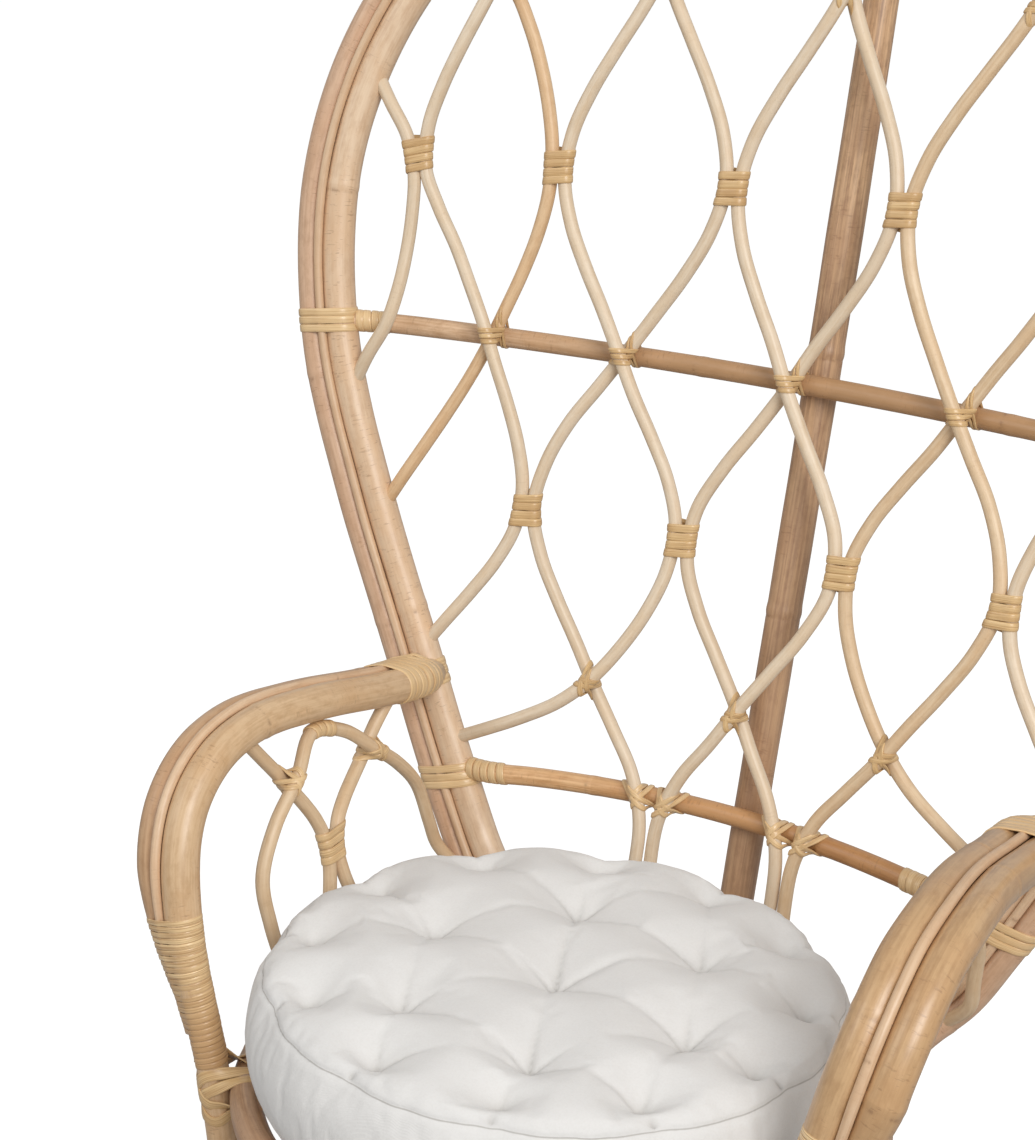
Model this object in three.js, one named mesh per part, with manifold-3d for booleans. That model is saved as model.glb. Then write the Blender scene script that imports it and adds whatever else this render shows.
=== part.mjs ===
// Rattan peacock chair: bent poles, a lattice of canes, peel bindings and a tufted seat cushion.
// Millimetres, +Z up. The chair faces -Y and +X is to the right of someone who looks at its front.
import * as THREE from 'three';
import Module from 'manifold-3d';

const wasm = await Module();
wasm.setup();
const { Vector2, Vector3 } = THREE;
const xAxis = new Vector3(1, 0, 0);
const zAxis = new Vector3(0, 0, 1);

// Driving sizes
const fitGap = 0.3;
const leanGap = 1;
const seatHeight = 470;
const cushionRadius = 245;
const hoopHalfWidth = 469;
const hoopWidestRise = 565;
const hoopCrownRise = 436;
const backGap = 57;
const backFootY = cushionRadius + backGap;
const backLean = 0.172;
const backBow = 66;
const armRise = 150;

// Radii of poles, canes and reeds
const hoopInnerR = 16;
const hoopOuterR = 12.5;
const hoopReedR = 4.3;
const armInnerR = 16.5;
const armPostR = 14;
const armOuterLeftR = 13;
const armOuterRightR = 16.5;
const armOuterR = (side) => (side > 0 ? armOuterRightR : armOuterLeftR);
const armReedR = 4.5;
const barR = 9.5;
const spineR = 16.5;
const caneR = 6.5;
const ringR = 14;

// Seat and base
const slatThickness = 7;
const slatWidth = 30;
const slatCount = 5;
const slatPitch = 85;
const slatInset = 9;
const seatOverhang = 25;
const seatRingRadius = cushionRadius + seatOverhang;
const seatRingCentreY = 25;
const cushionDrop = 120;
const seatRingZ = seatHeight - cushionDrop;
const slatBottomZ = seatRingZ + Math.sqrt(ringR ** 2 - slatInset ** 2) + fitGap;
const deckZ = slatBottomZ + slatThickness;
const floorFlare = 5;
const floorRingRadius = seatRingRadius + floorFlare;
const floorRingCentreY = -7;
const waistDraw = 32;
const waistRadius = seatRingRadius - waistDraw;

// The cushion
const cushionBulge = 15;
const cushionCrown = 20;
const cushionDrawIn = 6;
const crownSquareness = 6;
const cushionBottomZ = deckZ + fitGap;
const tuftDepth = 26;
const tuftSpread = 34;
const tuftMiddle = new Vector2(12, -21);
const tuftRingRadius = 133;
const tuftRingCount = 6;
const tuftRingTurn = THREE.MathUtils.degToRad(51);
const tuftEdgeRadius = 210;
const tuftEdgeCount = 12;
const tuftEdgeTurn = THREE.MathUtils.degToRad(18);

// Peel bindings
const peelThickness = 2;
const peelGap = 0.9;

// Lattice rows, as heights above the cushion's edge
const lowerBarRise = 31;
const crossRiseLow = 135;
const wrapRiseLow = 286;
const upperBarRise = 444;
const wrapRiseHigh = 610;
const crossRiseHigh = 790;
const wingCrossDrop = 12;
const wingCrossRise = crossRiseHigh - wingCrossDrop;

// Lattice columns, as distances from the middle
const lowerTieNear = 59;
const lowerTieFar = 84;
const crossLowSide = 152;
const wrapLowNear = 81;
const wrapLowFar = 240;
const upperCrossNear = 167;
const upperCrossFar = 301;
const rimCrossInset = 55;
const wrapHighNear = 83;
const wrapHighMiddle = 256;
const wrapHighFar = 396;
const crossHighNear = 178;
const crossHighFar = 336;

// Bends between the rows, each as [distance from the middle, height]
const rimBend = [394, 528];
const wingBend = [346, 524];
const innerBend = [211, 372];

// Where canes end on the hoop: on its crown, as distances from the middle, and on its sides, as heights
const crownMiddle = 74;
const crownOuter = 92;
const crownInner = 252;
const crownWing = 272;
const crownBrace = 398;
const outerEndRise = 48;
const wingEndRise = 131;
const braceEndRise = 260;
const rimEndRiseLow = 380;
const rimEndRiseHigh = 682;

// Depths behind the lattice sheet
const crossDepth = caneR + fitGap;
const kissOffset = caneR + fitGap / 2;
const upperBarDepth = crossDepth + caneR + fitGap + barR;
const lowerBarSlack = 2.4;
const lowerBarDepth = caneR + fitGap + barR + lowerBarSlack;
const hoopDepth = upperBarDepth / 2;
const caneEndDepth = hoopDepth * 0.5;
const upperBarEndDepth = hoopDepth * 1.5;
const upperBarFade = 8;
const lowerBarEndDepth = -2;
const lowerBarFade = 2;
const lowerBarArch = 14;
const lowerBarEndDrop = 8;
const lowerBarEndRise = lowerBarRise - lowerBarEndDrop;
const spineX = 12;

// Mesh fineness
const poleSides = 8;
const longCaneSegments = 26;
const wingCaneSegments = 22;
const braceSegments = 16;
const rimCaneSegments = 9;
const armCaneSegments = 13;
const caneSides = 6;
const reedSides = 4;

// A closed tube along points. Its radius may change with the share of the way along, and its
// first corner may follow a given direction.
function tube(points, radius, sides, { ring = false, corner = null, turn = 0 } = {}) {
  const count = points.length;
  const positions = [];
  const index = [];
  let side = null;
  points.forEach((point, i) => {
    const before = points[ring ? (i + count - 1) % count : Math.max(i - 1, 0)];
    const after = points[ring ? (i + 1) % count : Math.min(i + 1, count - 1)];
    const along = after.clone().sub(before).normalize();
    const hint = corner ? corner(i) : side || (Math.abs(along.z) < 0.9 ? zAxis : xAxis);
    side = hint.clone().addScaledVector(along, -hint.dot(along)).normalize();
    const other = along.clone().cross(side);
    const size = typeof radius === 'function' ? radius(i / (count - 1)) : radius;
    for (let k = 0; k < sides; k += 1) {
      const angle = ((k + turn) / sides) * 2 * Math.PI;
      const spot = point.clone();
      spot.addScaledVector(side, size * Math.cos(angle));
      spot.addScaledVector(other, size * Math.sin(angle));
      positions.push(spot.x, spot.y, spot.z);
    }
  });
  const rows = ring ? count : count - 1;
  for (let i = 0; i < rows; i += 1) {
    const here = i * sides;
    const next = ((i + 1) % count) * sides;
    for (let k = 0; k < sides; k += 1) {
      const m = (k + 1) % sides;
      index.push(here + k, here + m, next + m, here + k, next + m, next + k);
    }
  }
  if (!ring) {
    const last = (count - 1) * sides;
    for (let k = 1; k < sides - 1; k += 1) {
      index.push(0, k + 1, k);
      index.push(last, last + k, last + k + 1);
    }
  }
  return solid(positions, index);
}

function solid(positions, index) {
  const geometry = new THREE.BufferGeometry();
  geometry.setAttribute('position', new THREE.Float32BufferAttribute(positions, 3));
  geometry.setIndex(index);
  return geometry;
}

// A smooth curve through points, sampled evenly
function smooth(points, segments) {
  return new THREE.CatmullRomCurve3(points, false, 'centripetal').getSpacedPoints(segments);
}

function toManifold(geometry) {
  const vertProperties = new Float32Array(geometry.attributes.position.array);
  const triVerts = new Uint32Array(geometry.index.array);
  const mesh = new wasm.Mesh({ numProp: 3, vertProperties, triVerts });
  mesh.merge();
  return new wasm.Manifold(mesh);
}

// What is left of a piece after the shapes that it butts against are cut away
function cope(geometry, ...cutters) {
  let piece = toManifold(geometry);
  for (const cutter of cutters) {
    piece = piece.subtract(toManifold(cutter));
  }
  const largest = piece.decompose().reduce((a, b) => (b.volume() > a.volume() ? b : a));
  const mesh = largest.getMesh();
  return solid(Array.from(mesh.vertProperties), Array.from(mesh.triVerts));
}

const mirrored = (points) => points.map((p) => new Vector3(-p.x, p.y, p.z));

// The back: a leaning sheet, slightly bowed, in which the lattice and the hoop lie
function sheetNormal(x) {
  return new Vector3((2 * backBow * x) / hoopHalfWidth ** 2, 1, -backLean).normalize();
}

function backPoint(x, rise, depth = 0) {
  const y = backFootY + backLean * rise - backBow * (x / hoopHalfWidth) ** 2;
  return new Vector3(x, y, seatHeight + rise).addScaledVector(sheetNormal(x), depth);
}

// A point beside the seat ring, outside it, where a pole of the given radius touches it
function besideSeatRing(x, poleRadius) {
  const reach = seatRingRadius + ringR + fitGap + leanGap + poleRadius;
  return new Vector3(x, seatRingCentreY + Math.sqrt(reach ** 2 - x ** 2), seatRingZ);
}

function onRing(angle, radius, centreY, z) {
  return new Vector3(radius * Math.sin(angle), centreY - radius * Math.cos(angle), z);
}

// Hoop: two poles side by side and a reed in the front groove between them
const floorRingZ = ringR * Math.cos(Math.PI / poleSides);
const hoopFootAngle = THREE.MathUtils.degToRad(137);
const hoopSeatInset = 84;
const hoopSeatX = seatRingRadius - hoopSeatInset;
const hoopSegments = 66;
const hoopWaistShift = new Vector3(-8, -4, 0);
// The hoop's sides below its widest place, each as [distance outside the seat ring, rise], from the top
const hoopBends = [[180, 425], [130, 289], [63, 143], [12, 35], [-35, -55]];

function hoopPath() {
  const foot = onRing(hoopFootAngle, floorRingRadius, floorRingCentreY, floorRingZ);
  const seat = besideSeatRing(hoopSeatX, hoopInnerR);
  const waist = foot.clone().lerp(seat, 0.5).add(hoopWaistShift);
  const right = [foot, waist, seat];
  for (const [outside, rise] of hoopBends.slice().reverse()) {
    right.push(backPoint(seatRingRadius + outside, rise, hoopDepth));
  }
  const crownSteps = 12;
  const crown = [];
  for (let i = 0; i <= crownSteps; i += 1) {
    const angle = (i / crownSteps) * Math.PI;
    const rise = hoopWidestRise + hoopCrownRise * Math.sin(angle);
    crown.push(backPoint(hoopHalfWidth * Math.cos(angle), rise, hoopDepth));
  }
  return smooth([...right, ...crown, ...mirrored(right).reverse()], hoopSegments);
}

const hoopPoints = hoopPath();

function outwardAt(i) {
  const before = hoopPoints[Math.max(i - 1, 0)];
  const after = hoopPoints[Math.min(i + 1, hoopPoints.length - 1)];
  const along = after.clone().sub(before).normalize();
  return sheetNormal(hoopPoints[i].x).cross(along).normalize();
}

// Where a reed rests in the groove between two poles: its offsets along and across their line
function grooveSeat(nearR, farR, reedR) {
  const spacing = nearR + farR + fitGap;
  const toNear = nearR + reedR + fitGap;
  const toFar = farR + reedR + fitGap;
  const along = (toNear ** 2 - toFar ** 2 + spacing ** 2) / (2 * spacing);
  return { spacing, along, across: Math.sqrt(toNear ** 2 - along ** 2) };
}

const hoopGroove = grooveSeat(hoopInnerR, hoopOuterR, hoopReedR);
const outerPoleTail = 40;
const outerPoleEndZ = seatRingZ - outerPoleTail;
const outerRun = hoopPoints.map((p, i) => i).filter((i) => hoopPoints[i].z > outerPoleEndZ);

function besideHoop(along, across) {
  return outerRun.map((i) => {
    const spot = hoopPoints[i].clone().addScaledVector(outwardAt(i), along);
    return spot.addScaledVector(sheetNormal(hoopPoints[i].x), -across);
  });
}

function hoopInner(extra = 0) {
  return tube(hoopPoints, hoopInnerR + extra, poleSides, { corner: outwardAt });
}

const hoopOuter = tube(besideHoop(hoopGroove.spacing, 0), hoopOuterR, poleSides, {
  corner: (i) => outwardAt(outerRun[i]),
});
const hoopReed = tube(besideHoop(hoopGroove.along, hoopGroove.across), hoopReedR, reedSides, {
  corner: (i) => outwardAt(outerRun[i]),
});

// The hoop's axis at a height on one side, or at a place along its crown
function hoopAtRise(side, rise) {
  const z = seatHeight + rise;
  return nearest((p) => (Math.sign(p.x) === side ? Math.abs(p.z - z) : Infinity));
}

function hoopAtX(x) {
  return nearest((p) => (p.z > seatHeight + hoopWidestRise ? Math.abs(p.x - x) : Infinity));
}

function outerPoleAtRise(side, rise) {
  const gap = (i) => (
    Math.sign(hoopPoints[i].x) === side ? Math.abs(hoopPoints[i].z - seatHeight - rise) : Infinity);
  const i = outerRun.reduce((best, k) => (gap(k) < gap(best) ? k : best));
  return hoopPoints[i].clone().addScaledVector(outwardAt(i), hoopGroove.spacing);
}

function nearest(distance) {
  const fine = new THREE.CatmullRomCurve3(hoopPoints).getPoints(hoopPoints.length * 8);
  return fine.reduce((best, p) => (distance(p) < distance(best) ? p : best));
}

function fromHoop(point, depth) {
  return point.clone().addScaledVector(sheetNormal(point.x), depth - hoopDepth);
}

// Rings that carry the seat and stand on the floor
function ringPoints(radius, centreY, z) {
  const steps = 36;
  const points = [];
  for (let i = 0; i < steps; i += 1) {
    points.push(onRing((i / steps) * 2 * Math.PI, radius, centreY, z));
  }
  return points;
}

function ring(radius, centreY, z, extra = 0) {
  const points = ringPoints(radius, centreY, z);
  return tube(points, ringR + extra, poleSides, { ring: true, corner: () => zAxis, turn: 0.5 });
}

const seatRing = (extra) => ring(seatRingRadius, seatRingCentreY, seatRingZ, extra);
const floorRing = (extra) => ring(floorRingRadius, floorRingCentreY, floorRingZ, extra);

// Arms: two poles side by side and a reed, from the hoop forward, down past the seat to the floor
// The right arm from the rear to the front bend, each as [distance outside the seat ring, y, rise
// above the arm's height]
const armBends = [
  [30, 240, -26], [31, 180, -17], [36, 80, 0], [43, 0, 4], [44, -55, -9], [42, -92, -38],
  [36, -113, -76], [22, -124, -145],
];
const armHoopDrop = 32;
const armHoopInset = 20;
const armPostY = -128;
const armWaistShift = new Vector3(-14, 5, 0);
const armFootAngle = THREE.MathUtils.degToRad(61);
const armSegments = 36;

function armPath() {
  const hoop = hoopAtRise(1, armRise - armHoopDrop);
  const reach = seatRingRadius + ringR + fitGap + armPostR;
  const postX = Math.sqrt(reach ** 2 - (armPostY - seatRingCentreY) ** 2);
  const seat = new Vector3(postX, armPostY, seatRingZ);
  const foot = onRing(armFootAngle, floorRingRadius, floorRingCentreY, floorRingZ);
  const waist = foot.clone().lerp(seat, 0.5).add(armWaistShift);
  const points = [new Vector3(hoop.x - armHoopInset, hoop.y, hoop.z)];
  for (const [outside, y, rise] of armBends) {
    points.push(new Vector3(seatRingRadius + outside, y, seatHeight + armRise + rise));
  }
  points.push(seat, waist, foot);
  return smooth(points, armSegments);
}

const armPoints = armPath();
const taperTopRise = 50;
const taperDrop = 62;
const taperTopZ = seatHeight + taperTopRise;
const taperEndZ = seatHeight - taperDrop;
const armOuterTipR = 3;
const armReedTipR = 2;
const taperShare = (z) => THREE.MathUtils.clamp((taperTopZ - z) / (taperTopZ - taperEndZ), 0, 1);
const armInnerAt = (z) => THREE.MathUtils.lerp(armInnerR, armPostR, taperShare(z));
const armOuterAt = (z, side) => THREE.MathUtils.lerp(armOuterR(side), armOuterTipR, taperShare(z));
const armReedAt = (z) => THREE.MathUtils.lerp(armReedR, armReedTipR, taperShare(z));
const isFront = (i) => armPoints[i].y < 0;
const armShortEnd = armPoints.findIndex((p, i) => isFront(i) && p.z < taperEndZ);

function armFrame(i) {
  const before = armPoints[Math.max(i - 1, 0)];
  const after = armPoints[Math.min(i + 1, armPoints.length - 1)];
  const along = after.clone().sub(before).normalize();
  const out = xAxis.clone().addScaledVector(along, -xAxis.dot(along)).normalize();
  return { along, out, top: out.clone().cross(along).multiplyScalar(-1) };
}

function armBundle(i, side) {
  const front = isFront(i);
  const z = armPoints[i].z;
  const inner = front ? armInnerAt(z) : armInnerR;
  const outer = front ? armOuterAt(z, side) : armOuterR(side);
  const reed = front ? armReedAt(z) : armReedR;
  return { inner, outer, reed, ...grooveSeat(inner, outer, reed) };
}

function armPole(side, which) {
  const last = which === 'inner' ? armPoints.length - 1 : armShortEnd;
  const points = [];
  const radii = [];
  for (let i = 0; i <= last; i += 1) {
    const { out, top } = armFrame(i);
    const bundle = armBundle(i, side);
    const shifts = {
      inner: [0, 0],
      outer: [bundle.spacing, 0],
      reed: [bundle.along, bundle.across],
    };
    const [across, up] = shifts[which];
    points.push(armPoints[i].clone().addScaledVector(out, across).addScaledVector(top, up));
    radii.push(bundle[which]);
  }
  const path = side > 0 ? points : mirrored(points);
  const sides = which === 'reed' ? reedSides : poleSides;
  return tube(path, (share) => radii[Math.round(share * last)], sides, { corner: () => xAxis });
}

// Bars across the back, bent in a little at the ends to meet the hoop
function bar(endRise, arch, middleDepth, endDepth, fade) {
  const half = hoopAtRise(1, endRise);
  const points = [];
  const steps = 14;
  for (let i = 0; i <= steps; i += 1) {
    const share = (i / steps) * 2 - 1;
    const depth = THREE.MathUtils.lerp(middleDepth, endDepth, Math.abs(share) ** fade);
    points.push(backPoint(half.x * share, endRise + arch * (1 - share ** 2), depth));
  }
  return tube(points, barR, poleSides, { corner: () => sheetNormal(0) });
}

// The strut behind the middle of the back, from the floor ring to the hoop's crown
function spine() {
  const behind = (rise, depth) => backPoint(spineX, rise, depth + fitGap + spineR);
  const crown = hoopAtX(spineX);
  const points = [
    onRing(Math.PI - spineX / floorRingRadius, floorRingRadius, floorRingCentreY, floorRingZ),
    besideSeatRing(spineX, spineR),
    behind(lowerBarRise, lowerBarDepth + barR),
    behind(upperBarRise, upperBarDepth + barR),
    behind(crown.z - seatHeight + hoopInnerR, hoopDepth + hoopInnerR),
  ];
  return tube(smooth(points, 10), spineR, poleSides, { corner: () => new Vector3(0, 1, 0) });
}

// Back canes. Each runs from the top down: an end on the hoop, wraps where it lies beside the next
// cane, crossings where it passes in front or behind, and an end on the hoop or the seat ring.
const wrap = (column, rise, side) => ({ point: backPoint(column + side * kissOffset, rise) });
const cross = (column, rise, layer) => ({ point: backPoint(column, rise, layer * crossDepth) });
const steepCross = 1.2;
const tie = (column) => ({ point: backPoint(column, lowerBarRise) });
const bend = (side, [column, rise]) => ({ point: backPoint(side * column, rise) });
const crownEnd = (x) => ({ point: fromHoop(hoopAtX(x), caneEndDepth) });
const sideEnd = (side, rise) => ({ point: fromHoop(hoopAtRise(side, rise), caneEndDepth) });
const seatEnd = (x) => ({
  point: new Vector3(x, seatRingCentreY + Math.sqrt(seatRingRadius ** 2 - x ** 2), seatRingZ),
});

function middleCane(side, layer) {
  return [
    crownEnd(-side * crownMiddle),
    cross(0, crossRiseHigh, layer),
    wrap(side * wrapHighNear, wrapRiseHigh, -side),
    cross(0, upperBarRise, layer),
    wrap(-side * wrapLowNear, wrapRiseLow, side),
    cross(0, crossRiseLow, layer),
    tie(side * lowerTieNear),
    seatEnd(side * lowerTieNear),
  ];
}

function innerCane(side, layer) {
  return [
    crownEnd(side * crownInner),
    cross(side * crossHighNear, crossRiseHigh, layer),
    wrap(side * wrapHighNear, wrapRiseHigh, side),
    cross(side * upperCrossNear, upperBarRise, layer),
    bend(side, innerBend),
    wrap(side * wrapLowFar, wrapRiseLow, -side),
    cross(side * crossLowSide, crossRiseLow, layer),
    tie(side * lowerTieFar),
    seatEnd(side * lowerTieFar),
  ];
}

function outerCane(side, layer) {
  return [
    crownEnd(side * crownOuter),
    cross(side * crossHighNear, crossRiseHigh, layer),
    wrap(side * wrapHighMiddle, wrapRiseHigh, -side),
    cross(side * upperCrossNear, upperBarRise, layer),
    wrap(side * wrapLowNear, wrapRiseLow, side),
    cross(side * crossLowSide, crossRiseLow, layer),
    sideEnd(side, outerEndRise),
  ];
}

function wingCane(side, layer) {
  return [
    crownEnd(side * crownWing),
    cross(side * crossHighFar, wingCrossRise, layer * steepCross),
    wrap(side * wrapHighFar, wrapRiseHigh, -side),
    bend(side, wingBend),
    cross(side * upperCrossFar, upperBarRise, layer),
    wrap(side * wrapLowFar, wrapRiseLow, side),
    sideEnd(side, wingEndRise),
  ];
}

function wingBrace(side, layer) {
  return [
    crownEnd(side * crownBrace),
    cross(side * crossHighFar, wingCrossRise, layer * steepCross),
    wrap(side * wrapHighMiddle, wrapRiseHigh, side),
    cross(side * upperCrossFar, upperBarRise, layer),
    sideEnd(side, braceEndRise),
  ];
}

function rimCane(side) {
  return [
    sideEnd(side, rimEndRiseHigh),
    wrap(side * wrapHighFar, wrapRiseHigh, side),
    bend(side, rimBend),
    cross(side * (hoopAtRise(1, upperBarRise).x - rimCrossInset), upperBarRise, -1),
    sideEnd(side, rimEndRiseLow),
  ];
}

function backCane(stops, segments) {
  return cope(tube(smooth(stops.map((s) => s.point), segments), caneR, caneSides), hoopCut, ringCut);
}

// Arm canes, in the leaning plane under each arm: an arch and two canes that cross it
const armCrossDepth = crossDepth * 1.1;
const armKissOffset = kissOffset * 1.2;
const armSheetGap = 12.5;
const armSheetLean = 0.173;
const armSheetX = (rise) => seatRingRadius + armSheetGap + armSheetLean * rise;
const armTopLeast = 60;

// Arm lattice, each place as [distance behind the cushion's middle, rise]
const armFrontCross = [31, 92];
const armRearCross = [163, 80];
const armWrapPlace = [83, 18];
const archTop = [82, 126];
const archFrontBend = [-20, 30];
const archRearBends = [[228, 25], [252, -40]];
const archHoopRise = -95;
const archSeatY = 12;
const armCaneTopYs = [-24, 200];
const armCaneSeatYs = [52, 130];

function armSpot(side, [y, rise], layer = 0) {
  return new Vector3(side * (armSheetX(rise) + layer * armCrossDepth), y, seatHeight + rise);
}

function armSeatEnd(side, y) {
  const x = Math.sqrt(seatRingRadius ** 2 - (y - seatRingCentreY) ** 2);
  return new Vector3(side * x, y, seatRingZ);
}

const armTopEnd = (side, y) => {
  const spot = armPoints.reduce((best, p) => (
    p.z > seatHeight + armTopLeast && Math.abs(p.y - y) < Math.abs(best.y - y) ? p : best));
  return new Vector3(side * spot.x, spot.y, spot.z);
};

const armArch = (side) => [
  armSeatEnd(side, archSeatY),
  armSpot(side, archFrontBend),
  armSpot(side, armFrontCross, -1),
  armSpot(side, archTop),
  armSpot(side, armRearCross, -1),
  ...archRearBends.map((place) => armSpot(side, place)),
  outerPoleAtRise(side, archHoopRise),
];
const armFrontCane = (side) => [
  armTopEnd(side, armCaneTopYs[0]),
  armSpot(side, armFrontCross, 1),
  armSpot(side, [armWrapPlace[0] - armKissOffset, armWrapPlace[1]]),
  armSeatEnd(side, armCaneSeatYs[0]),
];
const armRearCane = (side) => [
  armTopEnd(side, armCaneTopYs[1]),
  armSpot(side, armRearCross, 1),
  armSpot(side, [armWrapPlace[0] + armKissOffset, armWrapPlace[1]]),
  armSeatEnd(side, armCaneSeatYs[1]),
];

function armCane(side, route) {
  const body = tube(smooth(route(side), armCaneSegments), caneR, caneSides);
  return cope(body, outerCut, reedCut, ringCut, side > 0 ? armCutRight : armCutLeft);
}

// Base canes: crossed pairs between the two rings, drawn in at the waist
const basePairAngles = [-92, -36, 0, 36, 92];
const basePairSpread = 15;

function baseCane(angle, lean, layer) {
  const centre = THREE.MathUtils.degToRad(angle);
  const spread = THREE.MathUtils.degToRad(basePairSpread) * lean;
  const waistY = (seatRingCentreY + floorRingCentreY) / 2;
  const waist = waistRadius + layer * crossDepth;
  const points = [
    onRing(centre - spread, seatRingRadius, seatRingCentreY, seatRingZ),
    onRing(centre, waist, waistY, (seatRingZ + floorRingZ) / 2),
    onRing(centre + spread, floorRingRadius, floorRingCentreY, floorRingZ),
  ];
  return cope(tube(smooth(points, 6), caneR, caneSides), ringCut, floorCut);
}

// Seat slats lie across the seat ring
function slat(i) {
  const offset = (i - (slatCount - 1) / 2) * slatPitch;
  const farEdge = Math.abs(offset) + slatWidth / 2;
  const reach = Math.sqrt((seatRingRadius - slatInset) ** 2 - farEdge ** 2);
  const box = new THREE.BoxGeometry(2 * reach, slatWidth, slatThickness);
  box.translate(0, seatRingCentreY + offset, slatBottomZ + slatThickness / 2);
  return solid(Array.from(box.attributes.position.array), Array.from(box.index.array));
}

// A peel wound round a bundle of poles as one flat band. station(share) gives the bundle's centre,
// its two cross directions and its circles, each as [u, v, radius].
function winding(name, station, turns, perTurn, width) {
  const steps = turns * perTurn;
  const centres = [];
  const positions = [];
  for (let i = 0; i <= steps; i += 1) {
    const { centre, u, v, circles, along } = station(i / steps);
    const low = support(circles, ((i - 0.5) / perTurn) * 2 * Math.PI);
    const high = support(circles, ((i + 0.5) / perTurn) * 2 * Math.PI);
    const corner = meet(low, high);
    const angle = (i / perTurn) * 2 * Math.PI;
    const spot = centre.clone().addScaledVector(u, corner.x).addScaledVector(v, corner.y);
    const normal = u.clone().multiplyScalar(Math.cos(angle)).addScaledVector(v, Math.sin(angle));
    centres.push(spot);
    for (const [lift, shift] of [[0, -0.5], [1, -0.5], [1, 0.5], [0, 0.5]]) {
      const p = spot.clone().addScaledVector(normal, lift * peelThickness);
      p.addScaledVector(along, shift * width);
      positions.push(p.x, p.y, p.z);
    }
  }
  reportSelfGap(name, centres, perTurn, width);
  const { u, v, along } = station(0);
  return band(positions, steps, u.clone().cross(v).dot(along) < 0);
}

// The line that touches the bundle from outside in one direction, one gap away from it
function support(circles, angle) {
  const normal = new Vector2(Math.cos(angle), Math.sin(angle));
  const reach = Math.max(...circles.map(([u, v, r]) => u * normal.x + v * normal.y + r));
  return { normal, reach: reach + fitGap };
}

function meet(low, high) {
  const det = low.normal.cross(high.normal);
  const x = (low.reach * high.normal.y - high.reach * low.normal.y) / det;
  const y = (high.reach * low.normal.x - low.reach * high.normal.x) / det;
  return new Vector2(x, y);
}

function band(positions, steps, leftHanded) {
  const index = [0, 1, 2, 0, 2, 3];
  for (let i = 0; i < steps; i += 1) {
    for (let k = 0; k < 4; k += 1) {
      const a = i * 4 + k;
      const b = i * 4 + ((k + 1) % 4);
      index.push(a, b + 4, b, a, a + 4, b + 4);
    }
  }
  const last = steps * 4;
  index.push(last, last + 2, last + 1, last, last + 3, last + 2);
  return solid(positions, leftHanded ? index.reverse() : index);
}

function reportSelfGap(name, centres, perTurn, width) {
  let least = Infinity;
  for (let i = 0; i < centres.length; i += 1) {
    for (let j = i + Math.ceil(perTurn / 2); j < centres.length; j += 1) {
      least = Math.min(least, centres[i].distanceTo(centres[j]) - width);
    }
  }
  console.log(`${name}: least gap to itself ${least.toFixed(2)} mm`);
}

// The arm bundle at a place along the arm, for its windings. The poles are eight-sided, so a peel
// that follows their flats sits a little inside their circles.
function armStation(side, index, flatShare) {
  const low = Math.floor(index);
  const share = index - low;
  const here = armFrame(low);
  const next = armFrame(Math.min(low + 1, armPoints.length - 1));
  const mix = (a, b) => a.clone().lerp(b, share).normalize();
  const flip = (v) => (side > 0 ? v : new Vector3(-v.x, v.y, v.z));
  const from = armBundle(low, side);
  const to = armBundle(Math.min(low + 1, armPoints.length - 1), side);
  const between = (key) => THREE.MathUtils.lerp(from[key], to[key], share);
  const circles = [[0, 0, between('inner') * flatShare]];
  if (low <= armShortEnd) {
    circles.push([between('spacing'), 0, between('outer') * flatShare]);
    circles.push([between('along'), between('across'), between('reed')]);
  }
  const following = armPoints[Math.min(low + 1, armPoints.length - 1)];
  const centre = armPoints[low].clone().lerp(following, share);
  return {
    centre: flip(centre), u: flip(mix(here.out, next.out)), v: flip(mix(here.top, next.top)),
    along: flip(mix(here.along, next.along)), circles,
  };
}

function armIndexWhere(test) {
  for (let i = 0; i < armPoints.length - 1; i += 1) {
    if (test(armPoints[i + 1])) {
      const here = armPoints[i];
      return { i, here, next: armPoints[i + 1] };
    }
  }
  throw new Error('no such place on the arm');
}

function armIndexAtY(y) {
  const { i, here, next } = armIndexWhere((p) => p.y < y);
  return i + (here.y - y) / (here.y - next.y);
}

function armIndexAtZ(z) {
  const { i, here, next } = armIndexWhere((p) => p.y < 0 && p.z < z);
  return i + (here.z - z) / (here.z - next.z);
}

const turnSides = 8;
const postWrapTurns = 16;
const postWrapTopRise = 18;
const postWrapEndGap = 9;
const postWrapTopZ = seatHeight + postWrapTopRise;
const postWrapEndZ = seatRingZ + ringR + postWrapEndGap;
const postPeelWidth = (postWrapTopZ - postWrapEndZ) / postWrapTurns - peelGap;
const armWrapTurns = 6;
const armWrapRearGap = 22;
const armWrapLength = 46;
const armWrapRearY = backFootY - armWrapRearGap;
const armWrapFrontY = armWrapRearY - armWrapLength;
const armPeelGap = 1.3;
const armFlatShare = 0.96;
const postFlatShare = 1.03;
const armPeelWidth = armWrapLength / armWrapTurns - armPeelGap;

function postWinding(side) {
  const start = armIndexAtZ(postWrapTopZ);
  const end = armIndexAtZ(postWrapEndZ);
  const station = (share) => armStation(side, THREE.MathUtils.lerp(start, end, share), postFlatShare);
  return winding(`post_binding ${side}`, station, postWrapTurns, turnSides, postPeelWidth);
}

function armEndWinding(side) {
  const start = armIndexAtY(armWrapRearY);
  const end = armIndexAtY(armWrapFrontY);
  const station = (share) => armStation(side, THREE.MathUtils.lerp(start, end, share), armFlatShare);
  return winding(`arm_end_binding ${side}`, station, armWrapTurns, turnSides, armPeelWidth);
}

// Bands of peel round the hoop where the bars meet it
const hoopBandTurns = 3;
const hoopBandSides = 10;
const hoopPeelWidth = 7;
const hoopBendGap = 0.5;

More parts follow.
